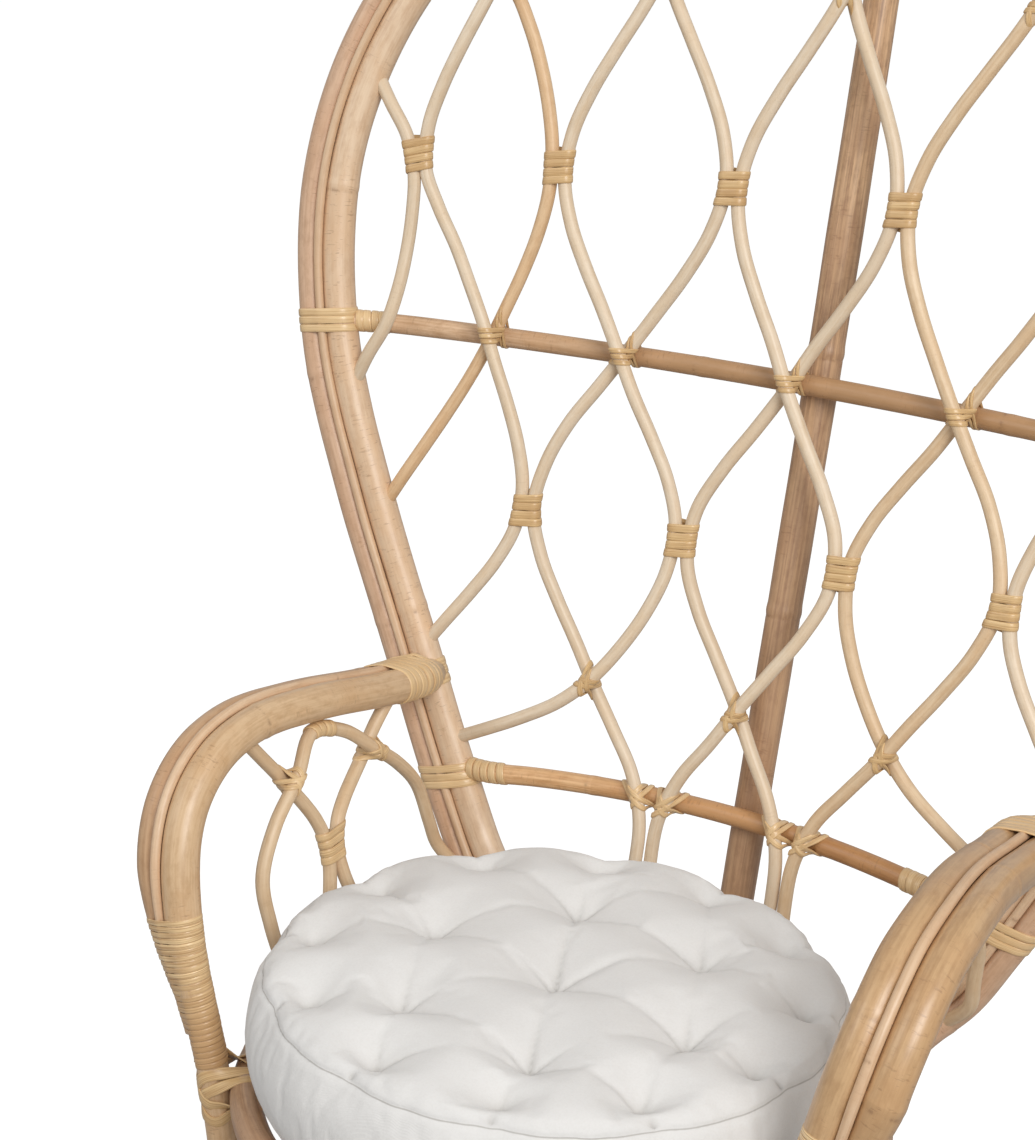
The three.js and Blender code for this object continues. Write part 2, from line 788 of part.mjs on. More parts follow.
function hoopBand(side, rise) {
  const z = seatHeight + rise;
  const half = (hoopBandTurns * (hoopPeelWidth + peelGap)) / 2;
  const spots = outerRun.filter((i) => Math.sign(hoopPoints[i].x) === side);
  const middle = spots.reduce((best, i) => (
    Math.abs(hoopPoints[i].z - z) < Math.abs(hoopPoints[best].z - z) ? i : best));
  const along = hoopPoints[middle + 1].clone().sub(hoopPoints[middle - 1]).normalize();
  const centre = hoopPoints[middle].clone();
  centre.addScaledVector(along, (z - centre.z) / along.z);
  const circles = [
    [0, 0, hoopInnerR + hoopBendGap], [hoopGroove.spacing, 0, hoopOuterR + hoopBendGap],
    [hoopGroove.along, hoopGroove.across, hoopReedR],
  ];
  const station = (share) => ({
    centre: centre.clone().addScaledVector(along, (share * 2 - 1) * half),
    u: outwardAt(middle),
    v: sheetNormal(centre.x).multiplyScalar(-1),
    along,
    circles,
  });
  return winding(`hoop_band ${side} ${rise}`, station, hoopBandTurns, hoopBandSides, hoopPeelWidth);
}

// The cushion: a round boxed form with a crown, bulging sides and rings of sewn tufts
function tuftRing(count, radius, turn) {
  const spots = [];
  for (let k = 0; k < count; k += 1) {
    const angle = turn + (k / count) * 2 * Math.PI;
    spots.push(new Vector2(radius * Math.cos(angle), radius * Math.sin(angle)));
  }
  return spots;
}

function tuftPoints() {
  const inner = tuftRing(tuftRingCount, tuftRingRadius, tuftRingTurn).map((p) => p.add(tuftMiddle));
  return [tuftMiddle, ...inner, ...tuftRing(tuftEdgeCount, tuftEdgeRadius, tuftEdgeTurn)];
}

function cushion() {
  const tufts = tuftPoints();
  const around = 44;
  const height = seatHeight - cushionBottomZ;
  const crownAt = (r) => {
    const inside = 1 - (r / cushionRadius) ** crownSquareness;
    return cushionCrown * Math.sqrt(Math.max(0, inside));
  };
  const topAt = (x, y, r) => {
    const near = Math.min(...tufts.map((t) => Math.hypot(x - t.x, y - t.y)));
    return seatHeight + crownAt(r) - tuftDepth * Math.exp(-((near / tuftSpread) ** 2));
  };
  const topRings = 11;
  const profile = [];
  for (let i = 1; i <= topRings; i += 1) {
    profile.push({ r: (cushionRadius * i) / topRings, top: true });
  }
  const sideSteps = 5;
  for (let i = 1; i <= sideSteps; i += 1) {
    const share = i / sideSteps;
    const r = cushionRadius + cushionBulge * Math.sin(Math.PI * share) - cushionDrawIn * share;
    profile.push({ r, z: seatHeight - height * share });
  }
  profile.push({ r: cushionRadius * 0.5, z: cushionBottomZ });
  const positions = [0, 0, topAt(0, 0, 0)];
  for (const { r, z, top } of profile) {
    for (let k = 0; k < around; k += 1) {
      const angle = (k / around) * 2 * Math.PI;
      const x = r * Math.cos(angle);
      const y = r * Math.sin(angle);
      positions.push(x, y, top && r < cushionRadius ? topAt(x, y, r) : z ?? seatHeight);
    }
  }
  positions.push(0, 0, cushionBottomZ);
  const last = positions.length / 3 - 1;
  const index = [];
  for (let k = 0; k < around; k += 1) {
    const m = (k + 1) % around;
    index.push(0, 1 + k, 1 + m);
    for (let i = 0; i < profile.length - 1; i += 1) {
      const here = 1 + i * around;
      const next = here + around;
      index.push(here + k, next + k, next + m, here + k, next + m, here + m);
    }
    const low = 1 + (profile.length - 1) * around;
    index.push(low + m, low + k, last);
  }
  return solid(positions, index);
}

// Materials
const material = (color, roughness) => new THREE.MeshStandardMaterial({ color, roughness, metalness: 0 });
const poleRattan = material(0xcda982, 0.5);
const caneRattan = material(0xe3ceae, 0.55);
const barRattan = material(0xc39664, 0.5);
const strutRattan = material(0xa57d5e, 0.5);
const peel = material(0xdcbc86, 0.4);
const cotton = material(0xdedbd6, 0.9);

// Assembly
const chair = new THREE.Group();

function add(name, geometry, look) {
  const mesh = new THREE.Mesh(geometry, look.clone());
  mesh.name = name;
  chair.add(mesh);
}

const sides = [['left', -1], ['right', 1]];
const hoopCut = hoopInner(fitGap);
const ringCut = seatRing(fitGap);
const floorCut = floorRing(fitGap);
const bandReach = (hoopInnerR + fitGap + peelThickness) / Math.cos(Math.PI / poleSides) ** 2;
const bandCut = hoopInner(bandReach - hoopInnerR + fitGap);
const outerCut = tube(besideHoop(hoopGroove.spacing, 0), hoopOuterR + fitGap, poleSides, {
  corner: (i) => outwardAt(outerRun[i]),
});
const reedCut = tube(besideHoop(hoopGroove.along, hoopGroove.across), hoopReedR + fitGap, reedSides, {
  corner: (i) => outwardAt(outerRun[i]),
});
const armCutRight = tube(armPoints, armInnerR + fitGap, poleSides, { corner: () => xAxis });
const armCutLeft = tube(mirrored(armPoints), armInnerR + fitGap, poleSides, { corner: () => xAxis });

add('hoop_inner_pole', cope(hoopInner(), floorCut), poleRattan);
add('hoop_outer_pole', hoopOuter, poleRattan);
add('hoop_reed', hoopReed, poleRattan);
const upperBar = bar(upperBarRise, 0, upperBarDepth, upperBarEndDepth, upperBarFade);
const lowerBar = bar(lowerBarEndRise, lowerBarArch, lowerBarDepth, lowerBarEndDepth, lowerBarFade);
add('upper_bar', cope(upperBar, bandCut), barRattan);
add('lower_bar', cope(lowerBar, bandCut), barRattan);
add('spine_pole', cope(spine(), floorCut), strutRattan);
add('seat_ring', seatRing(), strutRattan);
add('floor_ring', floorRing(), strutRattan);
for (let i = 0; i < slatCount; i += 1) {
  add(`seat_slat_${i + 1}`, slat(i), strutRattan);
}
for (const [word, side] of sides) {
  const hoopCuts = [hoopCut, outerCut, reedCut];
  add(`arm_inner_pole_${word}`, cope(armPole(side, 'inner'), ...hoopCuts, floorCut), poleRattan);
  add(`arm_outer_pole_${word}`, cope(armPole(side, 'outer'), ...hoopCuts), poleRattan);
  add(`arm_reed_${word}`, cope(armPole(side, 'reed'), ...hoopCuts), poleRattan);
  add(`back_cane_middle_${word}`, backCane(middleCane(side, side), longCaneSegments), caneRattan);
  add(`back_cane_inner_${word}`, backCane(innerCane(side, -side), longCaneSegments), caneRattan);
  add(`back_cane_outer_${word}`, backCane(outerCane(side, side), longCaneSegments), caneRattan);
  add(`back_cane_wing_${word}`, backCane(wingCane(side, side), wingCaneSegments), caneRattan);
  add(`back_cane_brace_${word}`, backCane(wingBrace(side, -side), braceSegments), caneRattan);
  add(`back_cane_rim_${word}`, backCane(rimCane(side), rimCaneSegments), caneRattan);
  add(`arm_cane_arch_${word}`, armCane(side, armArch), caneRattan);
  add(`arm_cane_front_${word}`, armCane(side, armFrontCane), caneRattan);
  add(`arm_cane_rear_${word}`, armCane(side, armRearCane), caneRattan);
  add(`post_binding_${word}`, postWinding(side), peel);
  add(`arm_end_binding_${word}`, armEndWinding(side), peel);
  add(`upper_bar_binding_${word}`, hoopBand(side, upperBarRise), peel);
  add(`lower_bar_binding_${word}`, hoopBand(side, lowerBarEndRise), peel);
}
basePairAngles.forEach((angle, i) => {
  add(`base_cane_${i + 1}_front`, baseCane(angle, 1, 1), caneRattan);
  add(`base_cane_${i + 1}_back`, baseCane(angle, -1, -1), caneRattan);
});
add('cushion', cushion(), cotton);

// The origin is on the floor, in the middle of the whole chair's box
const box = new THREE.Box3().setFromObject(chair);
const middle = box.getCenter(new Vector3());
for (const mesh of chair.children) {
  mesh.geometry.translate(0, -middle.y, -box.min.z);
  mesh.geometry.computeVertexNormals();
}

export default chair;
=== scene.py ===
"""Looks of a rattan peacock chair: round poles and canes, peel bindings and a tufted cotton cushion.

Metres, +Z up. The chair faces -Y and +X is to the right of someone who looks at its front.
"""
import functools
import math
import random
from collections import Counter

import bpy
import numpy as np
from mathutils import Matrix, Vector
from mathutils.geometry import convex_hull_2d


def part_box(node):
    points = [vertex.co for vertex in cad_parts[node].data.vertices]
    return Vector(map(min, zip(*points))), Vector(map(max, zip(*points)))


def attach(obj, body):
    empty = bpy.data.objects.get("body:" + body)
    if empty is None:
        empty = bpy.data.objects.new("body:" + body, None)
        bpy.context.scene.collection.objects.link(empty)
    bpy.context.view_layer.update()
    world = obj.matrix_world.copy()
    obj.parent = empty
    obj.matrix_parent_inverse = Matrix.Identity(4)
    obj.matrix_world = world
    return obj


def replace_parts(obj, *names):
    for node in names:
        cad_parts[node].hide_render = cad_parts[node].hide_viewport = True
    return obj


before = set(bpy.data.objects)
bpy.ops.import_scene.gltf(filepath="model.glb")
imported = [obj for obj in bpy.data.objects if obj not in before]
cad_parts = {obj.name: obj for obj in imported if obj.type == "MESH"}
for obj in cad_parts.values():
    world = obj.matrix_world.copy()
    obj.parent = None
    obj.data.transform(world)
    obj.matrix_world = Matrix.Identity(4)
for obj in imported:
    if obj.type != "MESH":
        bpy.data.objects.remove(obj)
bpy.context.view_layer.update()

SIDES = ("left", "right")
BACK_CANES = ("middle", "inner", "outer", "wing", "brace", "rim")
ROW_NUMBERS = range(1, 6)
TINY = 1e-6

# Camera, at the photograph's angle
PHOTO_HEIGHT = 1140
FOCAL_PIXELS = 2374.4
SENSOR_MM = 36
CAMERA_PLACE = (0.8354, -1.6947, 1.4176)
CAMERA_YAW = math.radians(29.56)
CAMERA_TILT = math.radians(18.26)
CAMERA_ROLL = math.radians(3.10)

# Tubes
RING_EDGE = 0.014  # edges round a tube are shorter, edges along it longer
POINT_DIGITS = 5
HEIGHT_DIGITS = 3
LINE_STEP = 0.002
POLE_SIDES = 28
CANE_SIDES = 18
POLE_STEP = 0.006
CANE_STEP = 0.005
CROSS_HINT = (0.31, 0.17, 0.94)  # a direction that no tube starts along

# Ends of tubes: how they run on into the tubes that they meet
END_BURY = 0.003
HOST_REACH = 0.012  # an end this near to a tube runs on into it
HOST_ROOM = 0.034  # rings this near to that tube's middle are left out
END_RUN = 0.04
RUN_STEPS = 21
SHORT_END = 0.006  # an end that stops farther off bends over to it
ARM_SINK = 0.5

# Growth of the rattan: wavers are a share of the radius and a length, growths a gap of rings and a swell
WAVER = (0.010, 0.061)
FINE_WAVER = (0.008, 0.023)
OVAL = (0.014, 0.11)
POLE_GROWTH = (0.36, 0.026)
BAR_GROWTH = (0.3, 0.03)
STRUT_GROWTH = (0.33, 0.04)
REED_GROWTH = (0.5, 0.0)
FIRST_RING = (0.2, 0.9)
RING_STEPS = (0.7, 1.3)
RING_ROWS = np.linspace(-0.010, 0.012, 12)
SWELL_LENGTH = 0.005
DIP_SHARE = 0.4
DIP_OFFSET = 0.006
DIP_LENGTH = 0.0018
SCAR_LENGTH = 0.0016
CLOSED_FADE = 0.03
PHASES = (0, 6.28)
GRAIN_STARTS = (0, 50)

# Peel: the waves along a band are a size and a rate per turn
PEEL_THICKNESS = 0.0016
PEEL_GAP = 0.0003
PEEL_PROFILE = [
    (-0.5, 0.0), (-0.5, 0.55), (-0.44, 0.82), (-0.25, 0.97),
    (0.25, 1.0), (0.44, 0.82), (0.5, 0.55), (0.5, 0.0),
]
PEEL_PER_TURN = 40
PEEL_SEAT = 0.0002
PEEL_TINTS = (0.1, 0.9)
WANDER_WAVE = (0.03, 3.7)
LIFT_WAVE = (0.12, 5.1)
TINT_WAVE = (0.3, 2.1)
TUCK_STEPS = 5
OUTLINE_STEPS = 120
OUTLINES_PER_TURN = 4
OUTLINE_REACH = 0.08
CUT_SIDES = 48
LEAN_STEPS = 9
LEAST_RUN = 0.3
MOST_STRETCH = 1.7
GUIDE_REACH = 0.05
MEETING_REACH = 0.05

# Bindings: bands have turns and a width. Collars have turns on the left and on the right
PEEL_WIDTH = 0.0075
PAIR_BAND = (4, PEEL_WIDTH)
TIE_BAND = (2, 0.0050)
BAR_TIE_BAND = (3, 0.0048)
KNOT_BAND = (2, 0.0028)
KNOT_SHIFT = 0.007
HOOP_BAND = (3, PEEL_WIDTH)
BACK_UP = np.array([0, 0.17, 0.985])
COLLAR_TURNS = {"upper": (4, 4), "lower": (5, 10)}
ARCH_WRAP_TURNS = 4
ARCH_WRAP_SHIFT = 0.010
POST_TURNS = 26
POST_PEEL_THICKNESS = 0.0009
POST_TIE_BAND = (2, 0.010)
ARM_END_TURNS = 7
ARM_END_START = 0.024
ARM_END_MORE = 0.024
ARM_HOOP_BAND = (3, 0.0085)

# Heights of wraps and ties
LOWER_BAR_Z = 0.501
CROSS_LOW_Z = 0.605
WRAP_LOW_Z = 0.756
UPPER_BAR_Z = 0.914
WRAP_HIGH_Z = 1.080
CROSS_HIGH_Z = 1.260
ARM_FRONT_TIE_Z = 0.540
ARM_REAR_TIE_Z = 0.560
ARM_WRAP_Z = 0.488
POST_TIE_Z = 0.350
BASE_TIE_Z = 0.19

# Looks
POLE_STREAK = 0.32
POLE_CRACKS = 0.34
CANE_CRACKS = 0.08
CANE_LOOK = {"roughness": 0.46, "coat": 0.15, "streak": 0.5, "cracking": CANE_CRACKS}
STRIPE_SHARE = 0.25
MOTTLE_SHARE = 0.40
SLAT_ROUNDING = 0.002
SLAT_ROUNDING_STEPS = 3
WHITE = (1, 1, 1, 1)

# The cushion's form
CUSHION_Y = -0.1208
CUSHION_EDGE_Z = 0.470
CUSHION_BOTTOM_Z = 0.3685
CUSHION_RADIUS = 0.245
CUSHION_BULGE = 0.013
BULGE_ROUNDNESS = 0.8
CUSHION_DRAW_IN = 0.006
CUSHION_CROWN = 0.023
CROWN_FLATNESS = 6
CUSHION_SIDES = 180
TOP_RINGS = 60
SIDE_RINGS = 24
BOTTOM_RINGS = 12
FIRST_SHARE = 0.02
BOTTOM_SHARE = 0.95
TOP_REACH = 0.03
TOP_FADE = 0.02
TUFT_DEPTH = 0.024
TUFT_MIDDLE = (0.012, -0.021)
TUFT_RING = 0.133
TUFT_RING_COUNT = 6
TUFT_RING_TURN = math.radians(51)
TUFT_EDGE = 0.210
TUFT_EDGE_COUNT = 12
TUFT_EDGE_TURN = math.radians(18)
FOLD_SPAN = 0.14
FOLD_STOP = 0.006
FOLD_FADE = (2.5, 8.0)
FOLD_ROUNDNESS = 1.8
PUFF_REACH = 0.052
EDGE_FADE = 0.03
EDGE_LEAST = 0.15

# The cushion's cloth, creases and seam
CLOTH_STEP = 0.005
CLOTH_FRAMES = 24
CLOTH_CAP = 0.026
TUFT_HOLD = 0.007
SEAM_HOLD = 0.005
SEAM_HOLD_HEIGHT = 0.006
SEAM_GRIP = 0.8
BOTTOM_HOLD = 0.004
CREASE_DEPTH = 0.007
CREASE_WIDTH = 0.0022
PINCH_DEPTH = 0.010
PINCH_WIDTH = 0.004
SEAM_DEPTH = 0.0016
SEAM_WIDTH = 0.0024
# Width of the painted shade line along the seam
SEAM_SHADE_WIDTH = 0.0014
SEAM_DRAW = 0.005
SEAM_DRAW_SPAN = 0.022
PUCKER_DEPTH = 0.0004
PUCKER_REACH = 0.016

# Stage: each light has a place, a size and a power
FLOOR_SIZE = 60
FLOOR_GREY = 0.42
FLOOR_LIFT = 0.80
ROOM_GLOW = 0.52
LIGHT_TARGET = (0, 0, 0.8)
LIGHTS = {
    "key": ((3.2, -2.9, 3.6), 2.6, 165),
    "fill": ((-2.2, -2.6, 3.0), 2.0, 22),
}


def srgb(colour):
    """A linear colour from display values of 0 to 255."""
    channels = [c / 255 for c in colour]
    linear = [c / 12.92 if c <= 0.04045 else ((c + 0.055) / 1.055) ** 2.4 for c in channels]
    return (*linear, 1.0)


def lengths(vectors):
    """The length of a vector, or of each vector in an array."""
    return np.linalg.norm(vectors, axis=-1)


def unit(vectors):
    return vectors / np.linalg.norm(vectors, axis=-1, keepdims=True)


def run_along(points):
    """How far each point is from the first, along the points."""
    return np.concatenate([[0], np.cumsum(lengths(np.diff(points, axis=0)))])


def even_angles(count, turn=0):
    return turn + np.arange(count) / count * 2 * math.pi


def circle(count, turn=0):
    """Even points on a circle of radius 1."""
    angles = even_angles(count, turn)
    return np.stack([np.cos(angles), np.sin(angles)], axis=1)


def hump(distance, width):
    """1 at no distance, fading out over the width."""
    return np.exp(-((distance / width) ** 2))


# Lines read from the CAD tubes

class Line:
    """A smooth line through points, with the radius of the tube round it."""

    def __init__(self, points, radii, closed=False):
        self.closed = closed
        self.points, knots = smooth_curve(np.asarray(points), closed)
        self.places = run_along(self.points)
        self.length = self.places[-1]
        sizes = list(radii) + [radii[0]] if closed else list(radii)
        self.radii = np.interp(np.arange(len(self.points)), knots, sizes)

    def at(self, place):
        return np.array([np.interp(place, self.places, self.points[:, k]) for k in range(3)]).T

    def direction(self, place):
        ahead = self.at(np.minimum(place + LINE_STEP, self.length))
        behind = self.at(np.maximum(place - LINE_STEP, 0))
        return unit(ahead - behind)

    def radius(self, place):
        return np.interp(place, self.places, self.radii)

    def nearest(self, spot):
        return self.places[np.argmin(lengths(self.points - spot))]

    def met(self, start, end):
        """The place that a straight run from start to end comes closest to."""
        run = start + np.linspace(0, 1, RUN_STEPS)[:, None] * (end - start)
        gaps = lengths(self.points[:, None] - run[None]).min(axis=1)
        return self.places[np.argmin(gaps)]

    def cut(self, spot, normal):
        """The place where the line passes a plane, as near to spot as can be."""
        height = (self.points - spot) @ normal
        passes = np.nonzero(height[:-1] * height[1:] <= 0)[0]
        if len(passes) == 0:
            return None
        i = passes[np.argmin(lengths(self.points[passes] - spot))]
        share = height[i] / (height[i] - height[i + 1]) if height[i] != height[i + 1] else 0
        return self.places[i] + share * (self.places[i + 1] - self.places[i])


def smooth_curve(points, closed):
    """Points a small step apart on a curve through the given ones, and which of them those are."""
    count = len(points)
    if closed:
        points = np.concatenate([points[-2:], points, points[:3]])
    gaps = lengths(np.diff(points, axis=0))
    slopes = np.diff(points, axis=0) / gaps[:, None]
    tangents = np.empty_like(points)
    tangents[0] = slopes[0]
    tangents[-1] = slopes[-1]
    weights = gaps[1:, None] + gaps[:-1, None]
    tangents[1:-1] = (slopes[:-1] * gaps[1:, None] + slopes[1:] * gaps[:-1, None]) / weights
    first, last = (2, count + 2) if closed else (0, count - 1)
    spots = []
    knots = [0]
    for i in range(first, last):
        steps = max(2, int(gaps[i] / LINE_STEP))
        t = np.arange(steps)[:, None] / steps
        ahead = t * t * (3 - 2 * t)
        curve = points[i] * (1 - ahead) + points[i + 1] * ahead
        curve += gaps[i] * (t * (1 - t) ** 2 * tangents[i] - t * t * (1 - t) * tangents[i + 1])
        spots.append(curve)
        knots.append(knots[-1] + steps)
    return np.concatenate(spots + [points[last][None]]), knots


def read_tube(node, hosts=(), sink=1.0, bare_start=False):
    """The axis of a tube-shaped CAD node, from the rings of corners that its mesh has along it.

    Ends that reach one of the hosts run on into it, to its middle where sink is 1. A bare start stays at the
    first whole ring.
    """
    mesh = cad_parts[node].data
    corners = np.array([v.co for v in mesh.vertices])
    points, index = np.unique(corners.round(POINT_DIGITS), axis=0, return_inverse=True)
    index = index.reshape(-1)
    group = list(range(len(points)))

    def head(i):
        while group[i] != i:
            i = group[i]
        return i

    for edge in mesh.edges:
        a, b = (index[v] for v in edge.vertices)
        if lengths(points[a] - points[b]) < RING_EDGE:
            group[head(a)] = head(b)
    rings = {}
    for i in range(len(points)):
        rings.setdefault(head(i), []).append(i)
    sides = Counter(len(r) for r in rings.values()).most_common(1)[0][0]
    whole = [points[r] for r in rings.values() if len(r) == sides]
    centres = np.array([r.mean(axis=0) for r in whole])
    radii = np.array([lengths(r - r.mean(axis=0)).mean() for r in whole])
    order, closed = in_order(centres)
    centres, radii = centres[order], radii[order]
    if closed:
        return Line(centres, radii, closed=True)
    for bare in (False, bare_start):
        centres, radii = centres[::-1], radii[::-1]
        if not bare:
            centres, radii = with_end(points, centres, radii, hosts, sink)
    return Line(centres, radii)


def in_order(centres):
    """The order of ring centres along a tube, the higher end first, and whether it is closed."""
    gaps = lengths(centres[:, None] - centres[None])
    ends = []
    for i in range(len(centres)):
        a, b = np.argsort(gaps[i])[1:3]
        if np.dot(centres[a] - centres[i], centres[b] - centres[i]) > 0:
            ends.append(i)
    start = max(ends, key=lambda i: (round(centres[i][2], HEIGHT_DIGITS), centres[i][0])) if ends else 0
    order = [start]
    left = set(range(len(centres))) - {start}
    while left:
        order.append(min(left, key=lambda i: gaps[order[-1], i]))
        left.remove(order[-1])
    return order, not ends


def end_reach(points, centre, ahead, radius):
    """The tube's end past its last whole ring, a little buried in what it meets."""
    along = (points - centre) @ ahead
    aside = lengths(points - centre - along[:, None] * ahead)
    reach = along[aside < 2 * radius].max(initial=0)
    return centre + ahead * (reach + END_BURY)


def with_end(points, centres, radii, hosts, sink):
    """A tube's rings with its first end put on: in a host that it reaches, or where the tube stops.

    An end that stops well short of its host bends over to it. Rings close to the host's middle are left out.
    """
    ahead = unit(centres[0] - centres[1])
    end = end_reach(points, centres[0], ahead, radii[0])
    spots = np.concatenate([[end], centres])
    radii = np.concatenate([radii[:1], radii])
    reached = None
    best = HOST_REACH
    for host in hosts:
        place = host.nearest(end)
        gap = lengths(host.at(place) - end) - host.radius(place)
        if gap < best:
            best = gap
            reached = host
    if reached is None:
        return spots, radii
    onward = end + ahead * END_RUN
    if best > SHORT_END:
        spots[0] = (end + centres[0]) / 2
        place = reached.nearest(onward)
    else:
        place = reached.met(end, onward)
    middle = reached.at(place)
    first = int(np.argmax(lengths(spots - middle) > HOST_ROOM))
    inside = middle + unit(spots[first] - middle) * (1 - sink) * reached.radius(place)
    return np.concatenate([[inside], spots[first:]]), np.concatenate([radii[:1], radii[first:]])


# Shapes: corners, faces and the values that the materials read

class Shape:
    def __init__(self):
        self.corners = []
        self.faces = []
        self.grain = []
        self.tint = []
        self.ring = []

    def add_rows(self, rows, grain, tint, ring, closed=False):
        """A tube of rows of corners, each row going once round. Open ends are filled."""
        count, sides = rows.shape[:2]
        grid = len(self.corners) + np.arange(count * sides).reshape(count, sides)
        self.corners.extend(rows.reshape(-1, 3))
        self.grain.extend(grain.reshape(-1, 3))
        self.tint.extend(np.repeat(tint, sides))
        self.ring.extend(np.repeat(ring, sides))
        ends = [] if closed else [grid[0, ::-1].tolist(), grid[-1].tolist()]
        if closed:
            grid = np.concatenate([grid, grid[:1]])
        turned = np.roll(grid, -1, axis=1)
        quads = np.stack([grid[:-1], turned[:-1], turned[1:], grid[1:]], axis=2)
        self.faces += quads.reshape(-1, 4).tolist() + ends


def add_values(mesh, key, values):
    """A number for each corner, which the material reads."""
    layer = mesh.attributes.new(key, "FLOAT", "POINT")
    layer.data.foreach_set("value", np.array(values, np.float32))


def make_smooth(mesh):
    mesh.polygons.foreach_set("use_smooth", [True] * len(mesh.polygons))


def add_piece(name, shape, material, body="frame"):
    """A piece of its own that rides a body."""
    mesh = bpy.data.meshes.new(name)
    mesh.from_pydata([tuple(c) for c in shape.corners], [], shape.faces)
    make_smooth(mesh)
    grain = mesh.attributes.new("grain", "FLOAT_VECTOR", "POINT")
    grain.data.foreach_set("vector", np.array(shape.grain, np.float32).reshape(-1))
    add_values(mesh, "tint", shape.tint)
    add_values(mesh, "ring", shape.ring)
    mesh.update()
    piece = bpy.data.objects.new(name, mesh)
    bpy.context.scene.collection.objects.link(piece)
    mesh.materials.append(material)
    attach(piece, body)
    return piece


def stand_in(node, ending, shape, material):
    """A piece in place of a CAD node."""
    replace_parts(add_piece(node + ending, shape, material), node)


def carried_frames(line, places):
    """Two cross directions along a line that don't twist round it."""
    directions = line.direction(places)
    side = unit(np.cross(directions[0], CROSS_HINT))
    sides = []
    for d in directions:
        side = unit(side - d * np.dot(side, d))
        sides.append(side)
    return np.array(sides), np.cross(directions, sides)


# Rattan poles and canes

def growth_rings(length, gap, rng):
    """Where a cane's growth rings are, at uneven steps."""
    places = []
    place = rng.uniform(*FIRST_RING) * gap
    while place < length:
        places.append(place)
        place += gap * rng.uniform(*RING_STEPS)
    return np.array(places)


def waver(places, share, length, phase):
    return share * np.sin(places / length + phase)


def rattan_tube(line, sides, step, rings, swell, rng):
    """A natural round pole along a line: it wavers a little, and swells at its growth rings."""
    places = np.concatenate([np.arange(0, line.length, step), *(rings + offset for offset in RING_ROWS)])
    places = np.unique(np.clip(places, 0, line.length).round(POINT_DIGITS))
    if line.closed:
        places = places[places < line.length - step / 2]
    elif line.length - places[-1] > 10 ** -POINT_DIGITS:
        places = np.append(places, line.length)
    phase = rng.uniform(*PHASES)
    factor = 1 + waver(places, *WAVER, phase) + waver(places, *FINE_WAVER, 2 * phase)
    scar = np.zeros_like(places)
    for spot in rings:
        past = places - spot
        factor += swell * hump(past, SWELL_LENGTH)
        factor -= DIP_SHARE * swell * hump(past - DIP_OFFSET, DIP_LENGTH)
        scar = np.maximum(scar, hump(past - DIP_OFFSET, SCAR_LENGTH))
    if line.closed:
        from_ends = np.minimum(places, line.length - places)
        factor = 1 + (factor - 1) * np.clip(from_ends / CLOSED_FADE, 0, 1)
    angles = even_angles(sides)
    oval = 1 + waver(places[:, None], *OVAL, 2 * angles + phase)
    reach = (line.radius(places) * factor)[:, None] * oval
    ring_x = reach * np.cos(angles)
    ring_y = reach * np.sin(angles)
    across, up = carried_frames(line, places)
    rows = line.at(places)[:, None] + ring_x[..., None] * across[:, None] + ring_y[..., None] * up[:, None]
    run = np.broadcast_to((places + rng.uniform(*GRAIN_STARTS))[:, None], ring_x.shape)
    grain = np.stack([ring_x, ring_y, run], axis=2)
    tints = np.array([rng.uniform(0, 1) for _ in range(len(rings) + 1)])
    shape = Shape()
    shape.add_rows(rows, grain, tints[np.searchsorted(rings, places)], scar, closed=line.closed)
    return shape


# Peel wound round one or more tubes

class Peel(Shape):
    """Wound peel. Its unevenness comes from its name."""

    def __init__(self, name):
        super().__init__()
        self.name = name
        self.rng = random.Random(name)

    def put_on(self, material):
        add_piece(self.name, self, material)

    def replace_node(self, material):
        """Puts the peel in place of the CAD binding of the same name."""
        stand_in(self.name, "_peel", self, material)


def outline(lines, spot, axis, hint):
    """The tight outline round tubes where a plane cuts them, as even steps that start on the hint's side."""
    across = unit(hint - axis * np.dot(hint, axis))
    up = np.cross(axis, across)
    ring = circle(CUT_SIDES)
    cloud = []
    for line in lines:
        place = line.cut(spot, axis)
        if place is None or lengths(line.at(place) - spot) > OUTLINE_REACH:
            continue
        direction = line.direction(place)
        lean = np.dot(direction, axis)
        long_way = direction - axis * lean
        long_way = unit(long_way) if lengths(long_way) > TINY else across
        short_way = np.cross(axis, long_way)
        stretch = 1 / max(abs(lean), 1 / MOST_STRETCH)
        offsets = stretch * ring[:, :1] * long_way + ring[:, 1:] * short_way
        points = line.at(place) - spot + line.radius(place) * offsets
        cloud.append(np.stack([points @ across, points @ up], axis=1))
    flat = even_steps(np.concatenate(cloud))
    return flat[:, :1] * across + flat[:, 1:] * up


def even_steps(points):
    """The tightest outline round points in even steps, from where it reaches farthest across."""
    corners = points[convex_hull_2d(points.tolist())]
    corners = np.roll(corners, -int(np.argmax(corners[:, 0])), axis=0)
    ring = np.concatenate([corners, corners[:1]])
    run = run_along(ring)
    shares = np.arange(OUTLINE_STEPS) / OUTLINE_STEPS * run[-1]
    return np.stack([np.interp(shares, run, ring[:, k]) for k in range(2)], axis=1)


